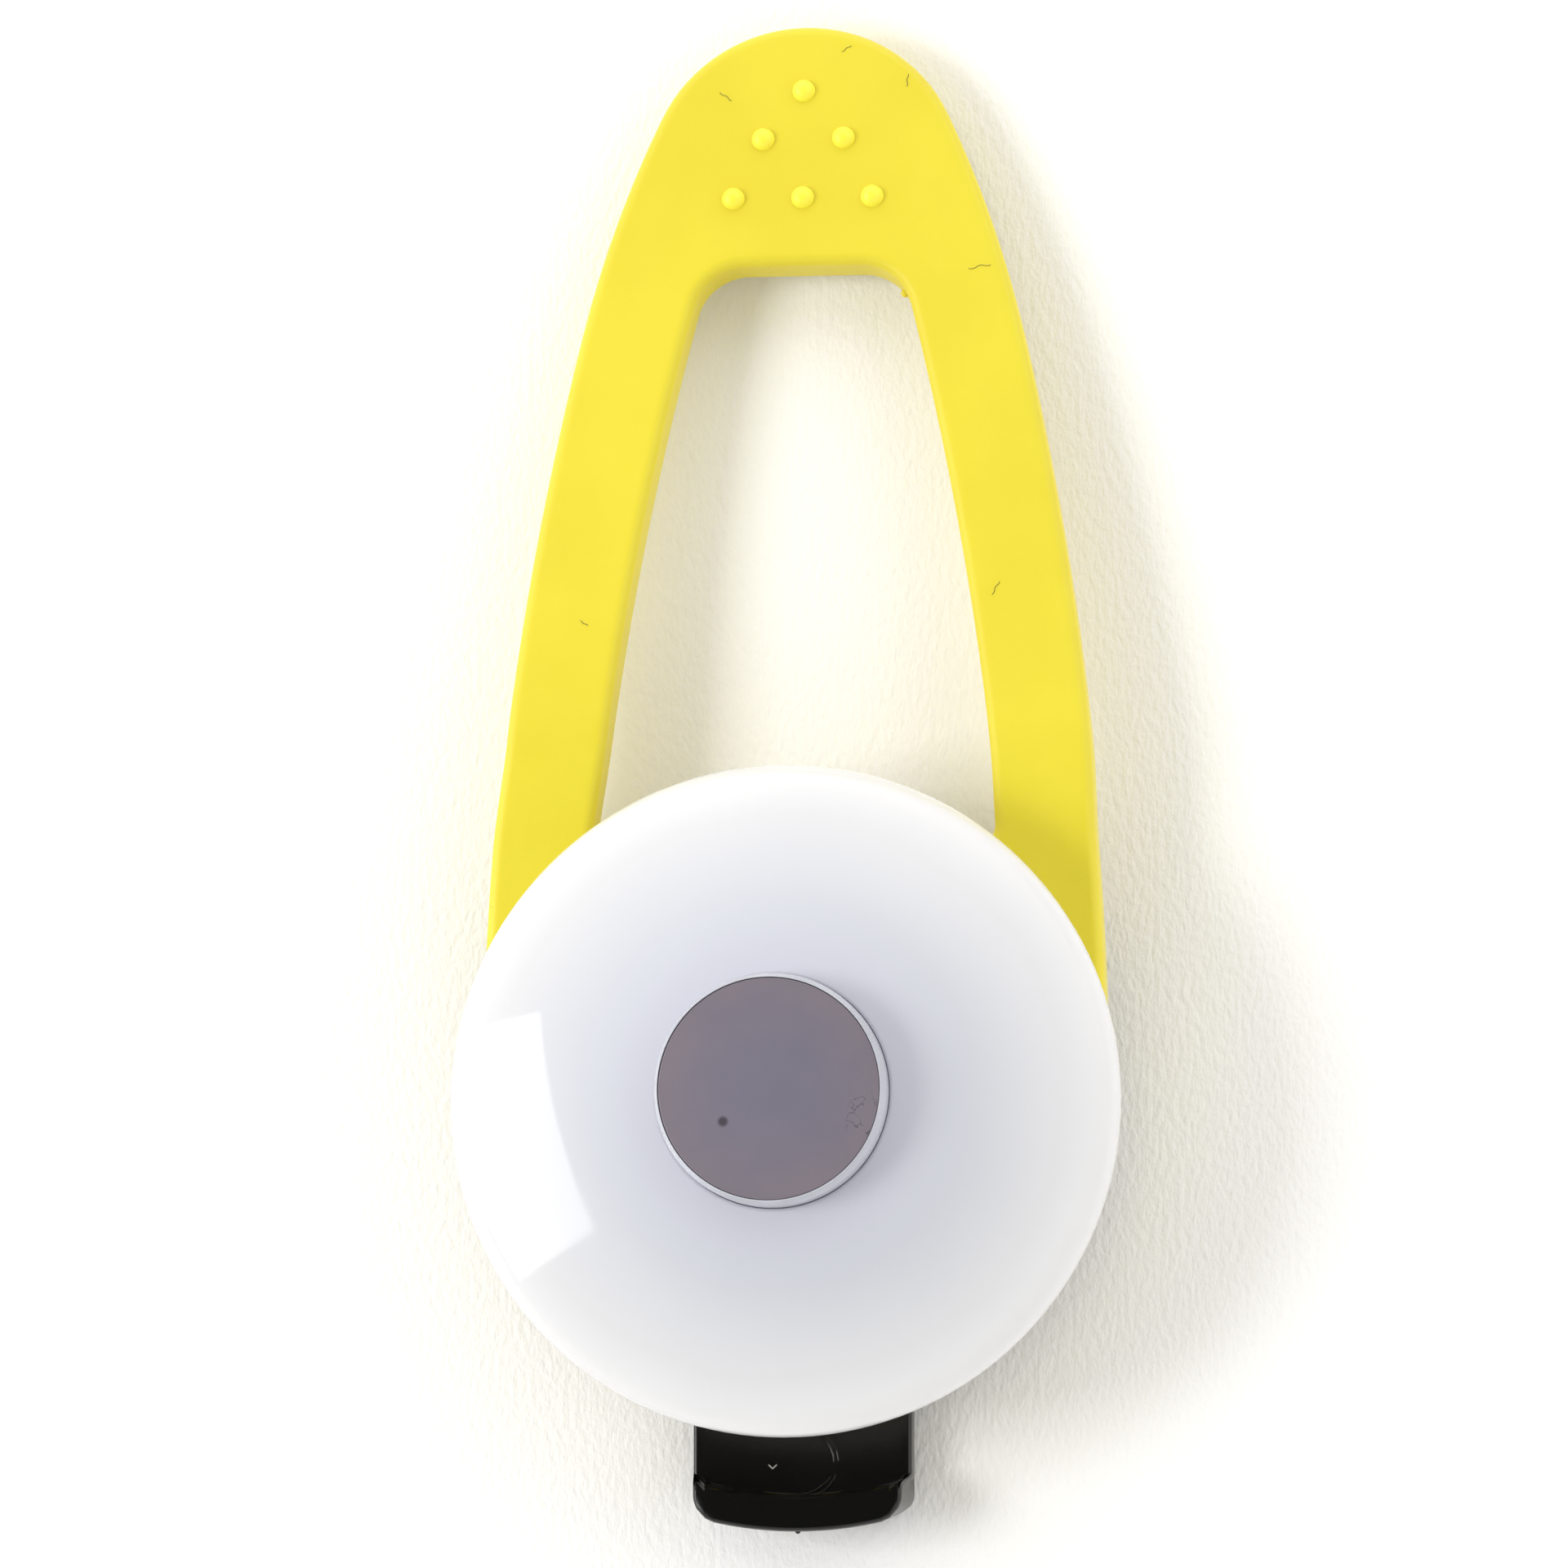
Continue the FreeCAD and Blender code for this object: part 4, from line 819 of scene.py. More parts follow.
class GeometryTree(Tree):
    """A Geometry Nodes tree with named inputs that ends in Realize Instances and Set Material."""

    def __init__(self, name: str, sizes: dict[str, str]) -> None:
        """Starts the tree.

        Args:
            name: the tree's name.
            sizes: each further input's name and socket type.
        """
        super().__init__(bpy.data.node_groups.new(name, "GeometryNodeTree"))
        face = self.tree.interface
        kinds = {"Geometry": "NodeSocketGeometry", **sizes, "Material": "NodeSocketMaterial"}
        self.sockets = {
            label: face.new_socket(label, in_out="INPUT", socket_type=kind) for label, kind in kinds.items()
        }
        face.new_socket("Geometry", in_out="OUTPUT", socket_type="NodeSocketGeometry")
        self.entry = self.node("NodeGroupInput")

    def size(self, label: str) -> Value:
        """A named input, for arithmetic."""
        return Value(self, self.entry.outputs[label])

    def close(self, geometry: bpy.types.NodeSocket) -> None:
        """Ends the tree with the geometry realized and dressed.

        Args:
            geometry: the socket that carries the finished geometry.
        """
        real = self.node("GeometryNodeRealizeInstances", None, {0: geometry})
        inputs = {"Geometry": real.outputs[0], "Material": self.entry.outputs["Material"]}
        dressed = self.node("GeometryNodeSetMaterial", None, inputs)
        self.node("NodeGroupOutput", None, {0: dressed.outputs[0]})

    def grow(self, name: str, seed: bpy.types.Mesh, sizes: dict, finish: Finish) -> bpy.types.Object:
        """Runs the tree on a seed mesh and keeps the plain result.

        Args:
            name: the new object's name.
            seed: the geometry that the tree starts from.
            sizes: input name to its value.
            finish: the material that it sets.

        Returns:
            An object at the origin with no modifier on it.
        """
        holder = new_object(name + "_seed", seed)
        modifier = holder.modifiers.new("grow", "NODES")
        modifier.node_group = self.tree
        for label, item in {**sizes, "Material": finish.material()}.items():
            modifier[self.sockets[label].identifier] = item
        graph = bpy.context.evaluated_depsgraph_get()
        graph.update()
        mesh = bpy.data.meshes.new_from_object(holder.evaluated_get(graph))
        holder.modifiers.remove(modifier)
        bpy.data.objects.remove(holder)
        mesh.name = name
        shape = bmesh.new()
        shape.from_mesh(mesh)
        loose = [edge for edge in shape.edges if edge.is_wire]
        bmesh.ops.delete(shape, geom=loose, context="EDGES")
        bmesh.ops.recalc_face_normals(shape, faces=shape.faces[:])
        shape.to_mesh(mesh)
        shape.free()
        mesh.shade_smooth()
        mesh.set_sharp_from_angle(angle=SMOOTH_ANGLE)
        return new_object(name, mesh)


class TurnedForm(GeometryTree):
    """Turns a profile round the lamp's axis."""

    def __init__(self) -> None:
        """Builds the tree: a grid of steps by profile points, each laid on its turned profile point."""
        super().__init__("turned_form", {"Steps": "NodeSocketInt"})
        profile = self.entry.outputs["Geometry"]
        count = self.value("GeometryNodeAttributeDomainSize", None, {0: profile})
        steps = self.size("Steps")
        grid = self.node("GeometryNodeMeshGrid", None, {"Vertices X": steps + 1, "Vertices Y": count})
        index = self.value("GeometryNodeInputIndex")
        step = (index / count + INDEX_SLACK).math("FLOOR")
        along = index - step * count
        position = self.node("GeometryNodeInputPosition")
        sampled = self.node(
            "GeometryNodeSampleIndex",
            {"data_type": "FLOAT_VECTOR", "domain": "POINT"},
            {"Geometry": profile, "Value": position.outputs[0], "Index": along},
        )
        turned = self.node(
            "ShaderNodeVectorRotate",
            {"rotation_type": "Z_AXIS"},
            {"Vector": sampled.outputs[0], "Angle": step / steps * math.tau},
        )
        laid_inputs = {"Geometry": grid.outputs["Mesh"], "Position": turned.outputs[0]}
        laid = self.node("GeometryNodeSetPosition", None, laid_inputs)
        merge_inputs = {"Geometry": laid.outputs[0], "Distance": MERGE}
        merged = self.node("GeometryNodeMergeByDistance", None, merge_inputs)
        self.close(merged.outputs[0])

    def turn(self, name: str, profile: Sequence[Point], finish: Finish) -> bpy.types.Object:
        """A closed ring or solid of revolution.

        Args:
            name: the object's name.
            profile: (radius, height) points round the section, in order.
            finish: its finish.

        Returns:
            The object.
        """
        seed = bpy.data.meshes.new(name + "_profile")
        loop = [*profile, profile[0]]
        seed.from_pydata([(r, 0.0, z) for r, z in loop], [], [])
        return self.grow(name, seed, {"Steps": TURN_STEPS}, finish)


class Scatter(GeometryTree):
    """Sets a small rounded stud on every point of its seed."""

    def __init__(self) -> None:
        """Builds the tree: a flattened sphere instanced on the points."""
        sizes = {"Radius": "NodeSocketFloat", "Flatten": "NodeSocketFloat"}
        super().__init__("studs_on_points", sizes)
        ball = self.node(
            "GeometryNodeMeshUVSphere",
            None,
            {"Segments": STUD_SEGMENTS, "Rings": STUD_RINGS, "Radius": self.entry.outputs["Radius"]},
        )
        scale = self.node("ShaderNodeCombineXYZ", None, {0: 1.0, 1: 1.0, 2: self.size("Flatten")})
        shape = {"Geometry": ball.outputs[0], "Scale": scale.outputs[0]}
        stud = self.node("GeometryNodeTransform", None, shape)
        placed = self.node(
            "GeometryNodeInstanceOnPoints",
            None,
            {"Points": self.entry.outputs["Geometry"], "Instance": stud.outputs[0]},
        )
        self.close(placed.outputs[0])

    def stud(
        self, name: str, places: Iterable[Sequence[float]], radius: float, flatten: float, finish: Finish
    ) -> bpy.types.Object:
        """Studs at these places.

        Args:
            name: the object's name.
            places: their centres.
            radius: their radius.
            flatten: height over width.
            finish: their finish.

        Returns:
            One object that holds them all.
        """
        seed = bpy.data.meshes.new(name + "_places")
        seed.from_pydata([tuple(p) for p in places], [], [])
        return self.grow(name, seed, {"Radius": radius, "Flatten": flatten}, finish)


class Threads(GeometryTree):
    """Thin closed tubes along the edges of its seed."""

    def __init__(self) -> None:
        """Builds the tree: edges to curves, swept with a small circle."""
        super().__init__("threads_on_edges", {"Radius": "NodeSocketFloat"})
        curve = self.node("GeometryNodeMeshToCurve", None, {"Mesh": self.entry.outputs["Geometry"]})
        ring = self.node(
            "GeometryNodeCurvePrimitiveCircle",
            None,
            {"Resolution": THREAD_SIDES, "Radius": self.entry.outputs["Radius"]},
        )
        tube = self.node(
            "GeometryNodeCurveToMesh",
            None,
            {"Curve": curve.outputs[0], "Profile Curve": ring.outputs[0], "Fill Caps": True},
        )
        self.close(tube.outputs[0])

    def spin(
        self, name: str, lines: Sequence[Sequence[Vector]], finish: Finish, radius: float = 0.013 * MM
    ) -> bpy.types.Object:
        """Tubes along these lines.

        Args:
            name: the object's name.
            lines: each thread's points.
            finish: its finish.
            radius: the threads' radius.

        Returns:
            One object that holds them all.
        """
        points = [tuple(p) for line in lines for p in line]
        edges, first = [], 0
        for line in lines:
            edges += [(first + k, first + k + 1) for k in range(len(line) - 1)]
            first += len(line)
        seed = bpy.data.meshes.new(name + "_lines")
        seed.from_pydata(points, edges, [])
        return self.grow(name, seed, {"Radius": radius}, finish)


def refined(node: str, name: str, body: str, finish: Finish) -> bpy.types.Object:
    """A smooth-shaded copy of a CAD node that stands in for it.

    Args:
        node: the CAD node.
        name: the new piece's name.
        body: the body that it rides on.
        finish: its finish.

    Returns:
        The piece.
    """
    mesh = bpy.data.objects[node].data.copy()
    mesh.name = name
    shape = bmesh.new()
    shape.from_mesh(mesh)
    bmesh.ops.remove_doubles(shape, verts=shape.verts[:], dist=MERGE)
    bmesh.ops.dissolve_limit(shape, angle_limit=FLAT_ANGLE, verts=shape.verts[:], edges=shape.edges[:])
    shape.to_mesh(mesh)
    shape.free()
    mesh.materials.clear()
    mesh.materials.append(finish.material())
    mesh.shade_smooth()
    mesh.set_sharp_from_angle(angle=SMOOTH_ANGLE)
    piece = new_object(name, mesh)
    weigh_normals(piece)
    stand_in(piece, body, node)
    return piece


def beside(piece: bpy.types.Object, body: str) -> None:
    """Adds a piece to a body.

    Args:
        piece: the finished piece.
        body: the body that it rides on.
    """
    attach(piece, body)


def stand_in(piece: bpy.types.Object, body: str, node: str) -> None:
    """Adds a piece to a body in place of a CAD node.

    Args:
        piece: the finished piece.
        body: the body that it rides on.
        node: the node that it stands in for.
    """
    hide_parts(node)
    beside(piece, body)


def dress(node: str, finish: Finish) -> None:
    """Gives a CAD node a finish in place of its plain one.

    Args:
        node: the CAD node.
        finish: its finish.
    """
    mesh = bpy.data.objects[node].data
    mesh.materials.clear()
    mesh.materials.append(finish.material())


def weigh_normals(piece: bpy.types.Object) -> None:
    """Lets large flat faces keep their own normal where they meet rounded edges.

    Args:
        piece: the piece, whose mesh is swapped for the weighted one.
    """
    modifier = piece.modifiers.new("weigh", "WEIGHTED_NORMAL")
    modifier.keep_sharp = True
    modifier.weight = NORMAL_WEIGHT
    graph = bpy.context.evaluated_depsgraph_get()
    graph.update()
    mesh = bpy.data.meshes.new_from_object(piece.evaluated_get(graph))
    piece.modifiers.remove(modifier)
    piece.data = mesh


# ---------------------------------------------------------------------------------------------
# Sub-assemblies
# ---------------------------------------------------------------------------------------------
@dataclass
class Dome:
    """The white diffuser: crowned shell, rounded rim, flared skirt and the hole for the button."""

    turned: TurnedForm
    skirt: float = 13.4 * MM
    inside: float = 11.9 * MM
    rim_round: float = 2.0 * MM
    rim_rise: float = 3.2 * MM
    crown_rise: float = 5.2 * MM
    wall: float = 1.3 * MM
    bore: float = 5.315 * MM
    tube: float = 6.47 * MM
    tube_foot: float = 11.0 * MM
    edge: float = 0.12 * MM
    edge_turn: float = math.radians(80)
    foot_round: float = 0.3 * MM
    foot_turn: float = -0.2
    fine: float = math.radians(2.0)

    def build(self) -> None:
        """Turns the shell's section: foot, rim and crown outside, then the tube and the inside."""
        low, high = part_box("dome_lens")
        foot = low.z
        centre = high.x - self.rim_round
        rim = foot + self.rim_rise
        rise = self.crown_rise
        crown = (centre**2 + rise**2 - self.rim_round**2) / (2 * (rise - self.rim_round))
        middle = rim + rise - crown
        inset, drop = centre - self.skirt, rim - foot
        under = math.asin(self.rim_round / math.hypot(inset, drop)) + math.atan(inset / drop)
        meet = math.atan2(rim - middle, centre)
        lip = math.acos((self.bore + self.edge) / crown)
        inner = self.rim_round - self.wall
        ball = crown - self.wall
        top = middle + crown * math.sin(lip)
        soft = self.foot_round
        profile = [(self.inside, foot)]
        profile += arc((self.skirt - soft, foot + soft), soft, -math.pi / 2, self.foot_turn)
        profile += arc((centre, rim), self.rim_round, -under, meet)
        profile += arc((0.0, middle), crown, meet, lip, self.fine)[1:]
        profile += arc((self.bore + self.edge, top - self.edge), self.edge, self.edge_turn, math.pi)
        profile += [(self.bore, self.tube_foot), (self.tube, self.tube_foot)]
        profile += arc((0.0, middle), ball, math.acos(self.tube / ball), meet, self.fine)
        profile += arc((centre, rim), inner, meet, -math.pi / 2)[1:]
        profile += [(self.inside, rim - inner)]
        dome = self.turned.turn("dome_shell", profile, Finish.DIFFUSER)
        stand_in(dome, "lamp", "dome_lens")
        LOG.info("dome: %.1f mm across", high.x * 2 / MM)


@dataclass
class Button:
    """The push button: clear-white cap with a thin rim round a satin metal disc."""

    turned: TurnedForm
    rim: float = 0.25 * MM
    rim_top: float = 0.075 * MM
    rim_slope: float = 0.6 * MM
    wall: float = 0.9 * MM
    flange: float = 0.9 * MM
    flange_thick: float = 0.7 * MM
    flange_top: float = 10.95 * MM
    roof: float = 0.85 * MM
    post: float = 1.3 * MM
    post_round: float = 0.15 * MM
    root_round: float = 0.3 * MM
    flange_round: float = 0.12 * MM
    skirt_round: float = 0.1 * MM
    shoulder_round: float = 0.5 * MM
    rim_round: float = 0.05 * MM
    disc_gap: float = 0.02 * MM
    disc_edge: float = 0.08 * MM

    def build(self) -> None:
        """Makes the cap and the disc, and dresses the switch stem."""
        disc_low, disc_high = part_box("button_disc")
        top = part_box("button_cap")[1].z
        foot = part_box("switch_stem")[1].z
        radius = disc_high.x + self.rim
        seat = disc_low.z
        roof = seat - self.roof
        flange_foot = self.flange_top - self.flange_thick
        inside = radius - self.wall
        flange = radius + self.flange
        recess = disc_high.x + self.disc_gap
        outer = [
            Corner(0.0, foot),
            Corner(self.post, foot, self.post_round),
            Corner(self.post, roof, self.root_round),
            Corner(inside, roof, self.root_round),
            Corner(inside, flange_foot, self.skirt_round),
            Corner(flange, flange_foot, self.flange_round),
            Corner(flange, self.flange_top, self.flange_round),
            Corner(radius, self.flange_top),
            Corner(radius, top - self.rim_slope, self.shoulder_round),
            Corner(disc_high.x + self.rim_top, top, self.rim_round),
            Corner(recess, top, self.disc_gap),
            Corner(recess, seat),
            Corner(0.0, seat),
        ]
        cap = self.turned.turn("button_shell", rounded(outer), Finish.BUTTON)
        face = [
            Corner(0.0, disc_low.z),
            Corner(disc_high.x, disc_low.z),
            Corner(disc_high.x, disc_high.z, self.disc_edge),
            Corner(0.0, disc_high.z),
        ]
        disc = self.turned.turn("button_face", rounded(face), Finish.DISC)
        stand_in(cap, "button", "button_cap")
        stand_in(disc, "button", "button_disc")
        dress("switch_stem", Finish.ACETAL)
        LOG.info("button: %.1f mm across, top at %.1f mm", radius * 2 / MM, top / MM)


@dataclass
class Hook:
    """The hook on the housing's foot: a plate that sweeps up into a rounded lip.

    Attributes:
        side: half width.
        reach: lamp axis to the end.
        corner: corners seen from the front.
        root: lamp axis to the inner end, inside the foot.
        flange: radius beyond which the housing's own hook is taken off.
        foot: underside.
        plate: top of the plate.
        lip: top of the lip.
        sweep: lamp axis to where the lip starts to rise, and to where it is full height.
        ease: width of the rounded rim.
        fall: height of the rounded rim on the plate, and on the lip.
        under: rounding of the underside.
        draft: how far the lip's sides lean in.
        undercut: how much shorter the underside is than the lip.
        nub: radius of what the moulding gate left on the end.
        nub_place: how deep it is sunk, and how far it is below the lip's top.
        near: mesh lines beside the rim, from the edge inwards.
        columns: mesh steps across the middle.
        rows: further mesh lines from the end inwards: how many, the first one's place and their pitch.
    """

    studs: Scatter
    side: float = 5.12 * MM
    reach: float = 19.65 * MM
    corner: float = 1.35 * MM
    root: float = 13.2 * MM
    flange: float = 14.02 * MM
    foot: float = 0.3 * MM
    plate: float = 2.0 * MM
    lip: float = 4.3 * MM
    sweep: tuple[float, float] = (17.86 * MM, 18.12 * MM)
    ease: float = 0.2 * MM
    fall: tuple[float, float] = (0.24 * MM, 0.34 * MM)
    under: float = 0.3 * MM
    draft: float = 0.24 * MM
    undercut: float = 0.5 * MM
    nub: float = 0.14 * MM
    nub_place: tuple[float, float] = (0.04 * MM, 0.5 * MM)
    near: tuple[float, ...] = (0.0, 0.008, 0.02, 0.04, 0.065, 0.095, 0.13, 0.165, 0.2)
    columns: int = 24
    rows: tuple[tuple[int, float, float], ...] = ((3, 0.4, 0.4), (20, 1.3, 0.04), (7, 2.51, 0.45))

    def end(self, x: float) -> float:
        """Where the hook ends.

        Args:
            x: place across the hook.

        Returns:
            The distance below the lamp's axis.
        """
        across = abs(x)
        hub = self.side - self.corner
        rim = self.reach - self.corner
        if across <= hub * self.reach / rim:
            return math.sqrt(self.reach**2 - across**2)
        return math.sqrt(rim**2 - hub**2) + math.sqrt(max(self.corner**2 - (across - hub) ** 2, 0.0))

    def margin(self, x: float, down: float) -> float:
        """How far a point lies inside the outline.

        Args:
            x: place across the hook.
            down: distance below the lamp's axis.

        Returns:
            The distance to the nearest edge.
        """
        across = abs(x)
        hub = self.side - self.corner
        low = math.sqrt((self.reach - self.corner) ** 2 - hub**2)
        turn = math.atan2(across - hub, down - low)
        if across > hub and down > low and turn > math.atan2(hub, low):
            return max(self.corner - math.hypot(across - hub, down - low), 0.0)
        return max(min(self.side - across, self.reach - math.hypot(across, down)), 0.0)

    def rise(self, x: float, down: float) -> float:
        """How far the sweep from plate to lip has risen at a point, 0 to 1."""
        begin, full = self.sweep
        return eased((math.hypot(x, down) - begin) / (full - begin))

    def heights(self, x: float, down: float) -> Point:
        """Heights at a point.

        Args:
            x: place across the hook.
            down: distance below the lamp's axis.

        Returns:
            The top's height and the underside's.
        """
        rise = self.rise(x, down)
        depth = self.margin(x, down)
        fall = self.fall[0] + (self.fall[1] - self.fall[0]) * rise
        left = max(1 - depth / self.ease, 0.0)
        lifted = max(1 - depth / self.under, 0.0)
        top = self.plate + (self.lip - self.plate) * rise - fall * (1 - math.sqrt(1 - left**2))
        return top, self.foot + self.under * (1 - math.sqrt(1 - lifted**2))

    def pulled_in(self, down: float) -> float:
        """How far the underside's edge is pulled in towards the lamp's axis."""
        return self.undercut * min(max((down - self.sweep[0]) / (self.reach - self.sweep[0]), 0.0), 1.0)

    def clear(self, housing: bpy.types.Object) -> None:
        """Takes the plain hook off the housing and closes the foot.

        Args:
            housing: the housing's copy, whose mesh is changed.
        """
        shape = bmesh.new()
        shape.from_mesh(housing.data)
        outer = [v for v in shape.verts if v.co.xy.length > self.flange]
        bmesh.ops.delete(shape, geom=outer, context="VERTS")
        bmesh.ops.holes_fill(shape, edges=[e for e in shape.edges if e.is_boundary])
        shape.to_mesh(housing.data)
        shape.free()

    def lines(self) -> tuple[list[float], list[float]]:
        """The mesh lines.

        Returns:
            Their places across the hook, and their distances from its end.
        """
        edges = [step * MM for step in self.near]
        inner = self.side - edges[-1]
        middle = [inner * (2 * k / self.columns - 1) for k in range(1, self.columns)]
        across = [-self.side + e for e in edges] + middle + [self.side - e for e in reversed(edges)]
        inwards = [(first + pitch * k) * MM for count, first, pitch in self.rows for k in range(count)]
        return across, edges + inwards

    def skin(self) -> bmesh.types.BMesh:
        """The hook's closed skin.

        Returns:
            The top and the underside as grids, joined round their edges.
        """
        shape = bmesh.new()
        tops, feet = [], []
        across, inwards = self.lines()
        for x in across:
            end = self.end(x)
            downs = [end - e for e in inwards] + [self.root]
            pairs = [(down, *self.heights(x, down)) for down in downs]
            lean = self.draft * x / self.side
            tops.append([shape.verts.new((x - lean * self.rise(x, d), -d, top)) for d, top, _ in pairs])
            feet.append([shape.verts.new((x, self.pulled_in(d) - d, foot)) for d, _, foot in pairs])
        for top, next_top, under, next_under in zip(tops, tops[1:], feet, feet[1:]):
            for k in range(len(top) - 1):
                shape.faces.new((top[k], next_top[k], next_top[k + 1], top[k + 1]))
                shape.faces.new((under[k], under[k + 1], next_under[k + 1], next_under[k]))
            for k in (0, -1):
                shape.faces.new((top[k], under[k], next_under[k], next_top[k]))
        for line, under in ((tops[0], feet[0]), (tops[-1], feet[-1])):
            for k in range(len(line) - 1):
                shape.faces.new((line[k], line[k + 1], under[k + 1], under[k]))
        bmesh.ops.recalc_face_normals(shape, faces=shape.faces[:])
        return shape

    def build(self, housing: bpy.types.Object) -> None:
        """Sets this hook in place of the housing's plain one.

        Args:
            housing: the housing's copy.
        """
        self.clear(housing)
        hook = from_bmesh("hook_shell", self.skin(), Finish.HOOK)
        sunk, drop = self.nub_place
        place = (0.0, sunk - self.reach, self.lip - drop)
        nub = self.studs.stud("hook_nub", [place], self.nub, 1.0, Finish.HOOK)
        for piece in (hook, nub):
            beside(piece, "lamp")
        LOG.info("hook: %.1f mm wide, %d faces", self.side * 2 / MM, len(hook.data.polygons))


@dataclass
class Base:
    """The black base: housing with its hook, the battery door with its marks, and the seal."""

    studs: Scatter
    mark_radius: float = 0.35 * MM
    mark_ring: float = 10.4 * MM
    mark_angles: tuple[float, ...] = (90, 210, 330)
    mark_sink: float = 0.005 * MM
    mark_flatten: float = 0.12

    def build(self) -> None:
        """Makes the housing, the hook, the door and its position marks."""
        housing = refined("base_housing", "housing_shell", "lamp", Finish.BLACK)
        Hook(self.studs).build(housing)
        refined("battery_door", "door_shell", "door", Finish.DOOR)
        dress("door_seal", Finish.SEAL)
        low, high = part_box("battery_door")
        ring, height = self.mark_ring, low.z + self.mark_sink
        turns = [math.radians(angle) for angle in self.mark_angles]
        places = [(ring * math.cos(turn), ring * math.sin(turn), height) for turn in turns]
        marks = self.studs.stud("door_marks", places, self.mark_radius, self.mark_flatten, Finish.DOOR)
        beside(marks, "door")
        LOG.info("base: door %.1f mm across", (high.x - low.x) / MM)


class Side(Enum):
    """Which side of an outline's line the silicone lies on."""

    INSIDE = 1
    OUTSIDE = -1


@dataclass
class Loop:
    """One closed line of the strap's plan: its points and, at each, the way out of the silicone."""

    points: list[Vector] = field(default_factory=list)
    ways: list[Vector] = field(default_factory=list)

    def add_arc(self, centre: Point, radius: float, start: float, end: float, side: Side) -> None:
        """Adds an arc without its last point.

        Args:
            centre: the arc's centre.
            radius: its radius.
            start: first angle.
            end: last angle.
            side: INSIDE when the silicone is on the centre's side of the arc.
        """
        turn = abs(end - start)
        steps = max(2, math.ceil(turn * radius / ARC_LENGTH), math.ceil(turn / ARC_STEP))
        for k in range(steps):
            angle = start + (end - start) * k / steps
            spoke = Vector((math.cos(angle), math.sin(angle)))
            self.points.append(Vector(centre) + spoke * radius)
            self.ways.append(spoke * side.value)

    def add_line(self, start: Vector, end: Vector, way: Vector) -> None:
        """Adds a straight stretch without its last point.

        Args:
            start: its first point.
            end: the point that it stops short of.
            way: the way out of the silicone.
        """
        steps = max(1, math.ceil((end - start).length / LINE_LENGTH))
        for k in range(steps):
            self.points.append(start.lerp(end, k / steps))
            self.ways.append(way.copy())

    def shrunk(self, depth: float) -> list[Vector]:
        """The line moved into the silicone by depth."""
        return [p - w * depth for p, w in zip(self.points, self.ways)]


@dataclass(frozen=True)
class Length:
    """One of the strap's three lengths.

    Attributes:
        name: the piece's name.
        bodies: the two bodies at either end of it; not used.
        nodes: the CAD nodes that it stands in for.
        bend: where its bend begins and ends, counted in bend lines from 0; not used.
        stop: where it ends, counted the same way.
    """

    name: str
    bodies: tuple[str, str]
    nodes: tuple[str, ...]
    bend: tuple[float, float]
    stop: float


@dataclass(frozen=True)
class Speckle:
    """Small things on one body of the strap, placed in millimetres on the flat strap.

    Attributes:
        body: the body.
        node: the CAD node that they belong to; not used.
        places: x and y of each; for a hair, its first direction in radians and its length too.
    """

    body: str
    node: str
    places: tuple[tuple[float, ...], ...]


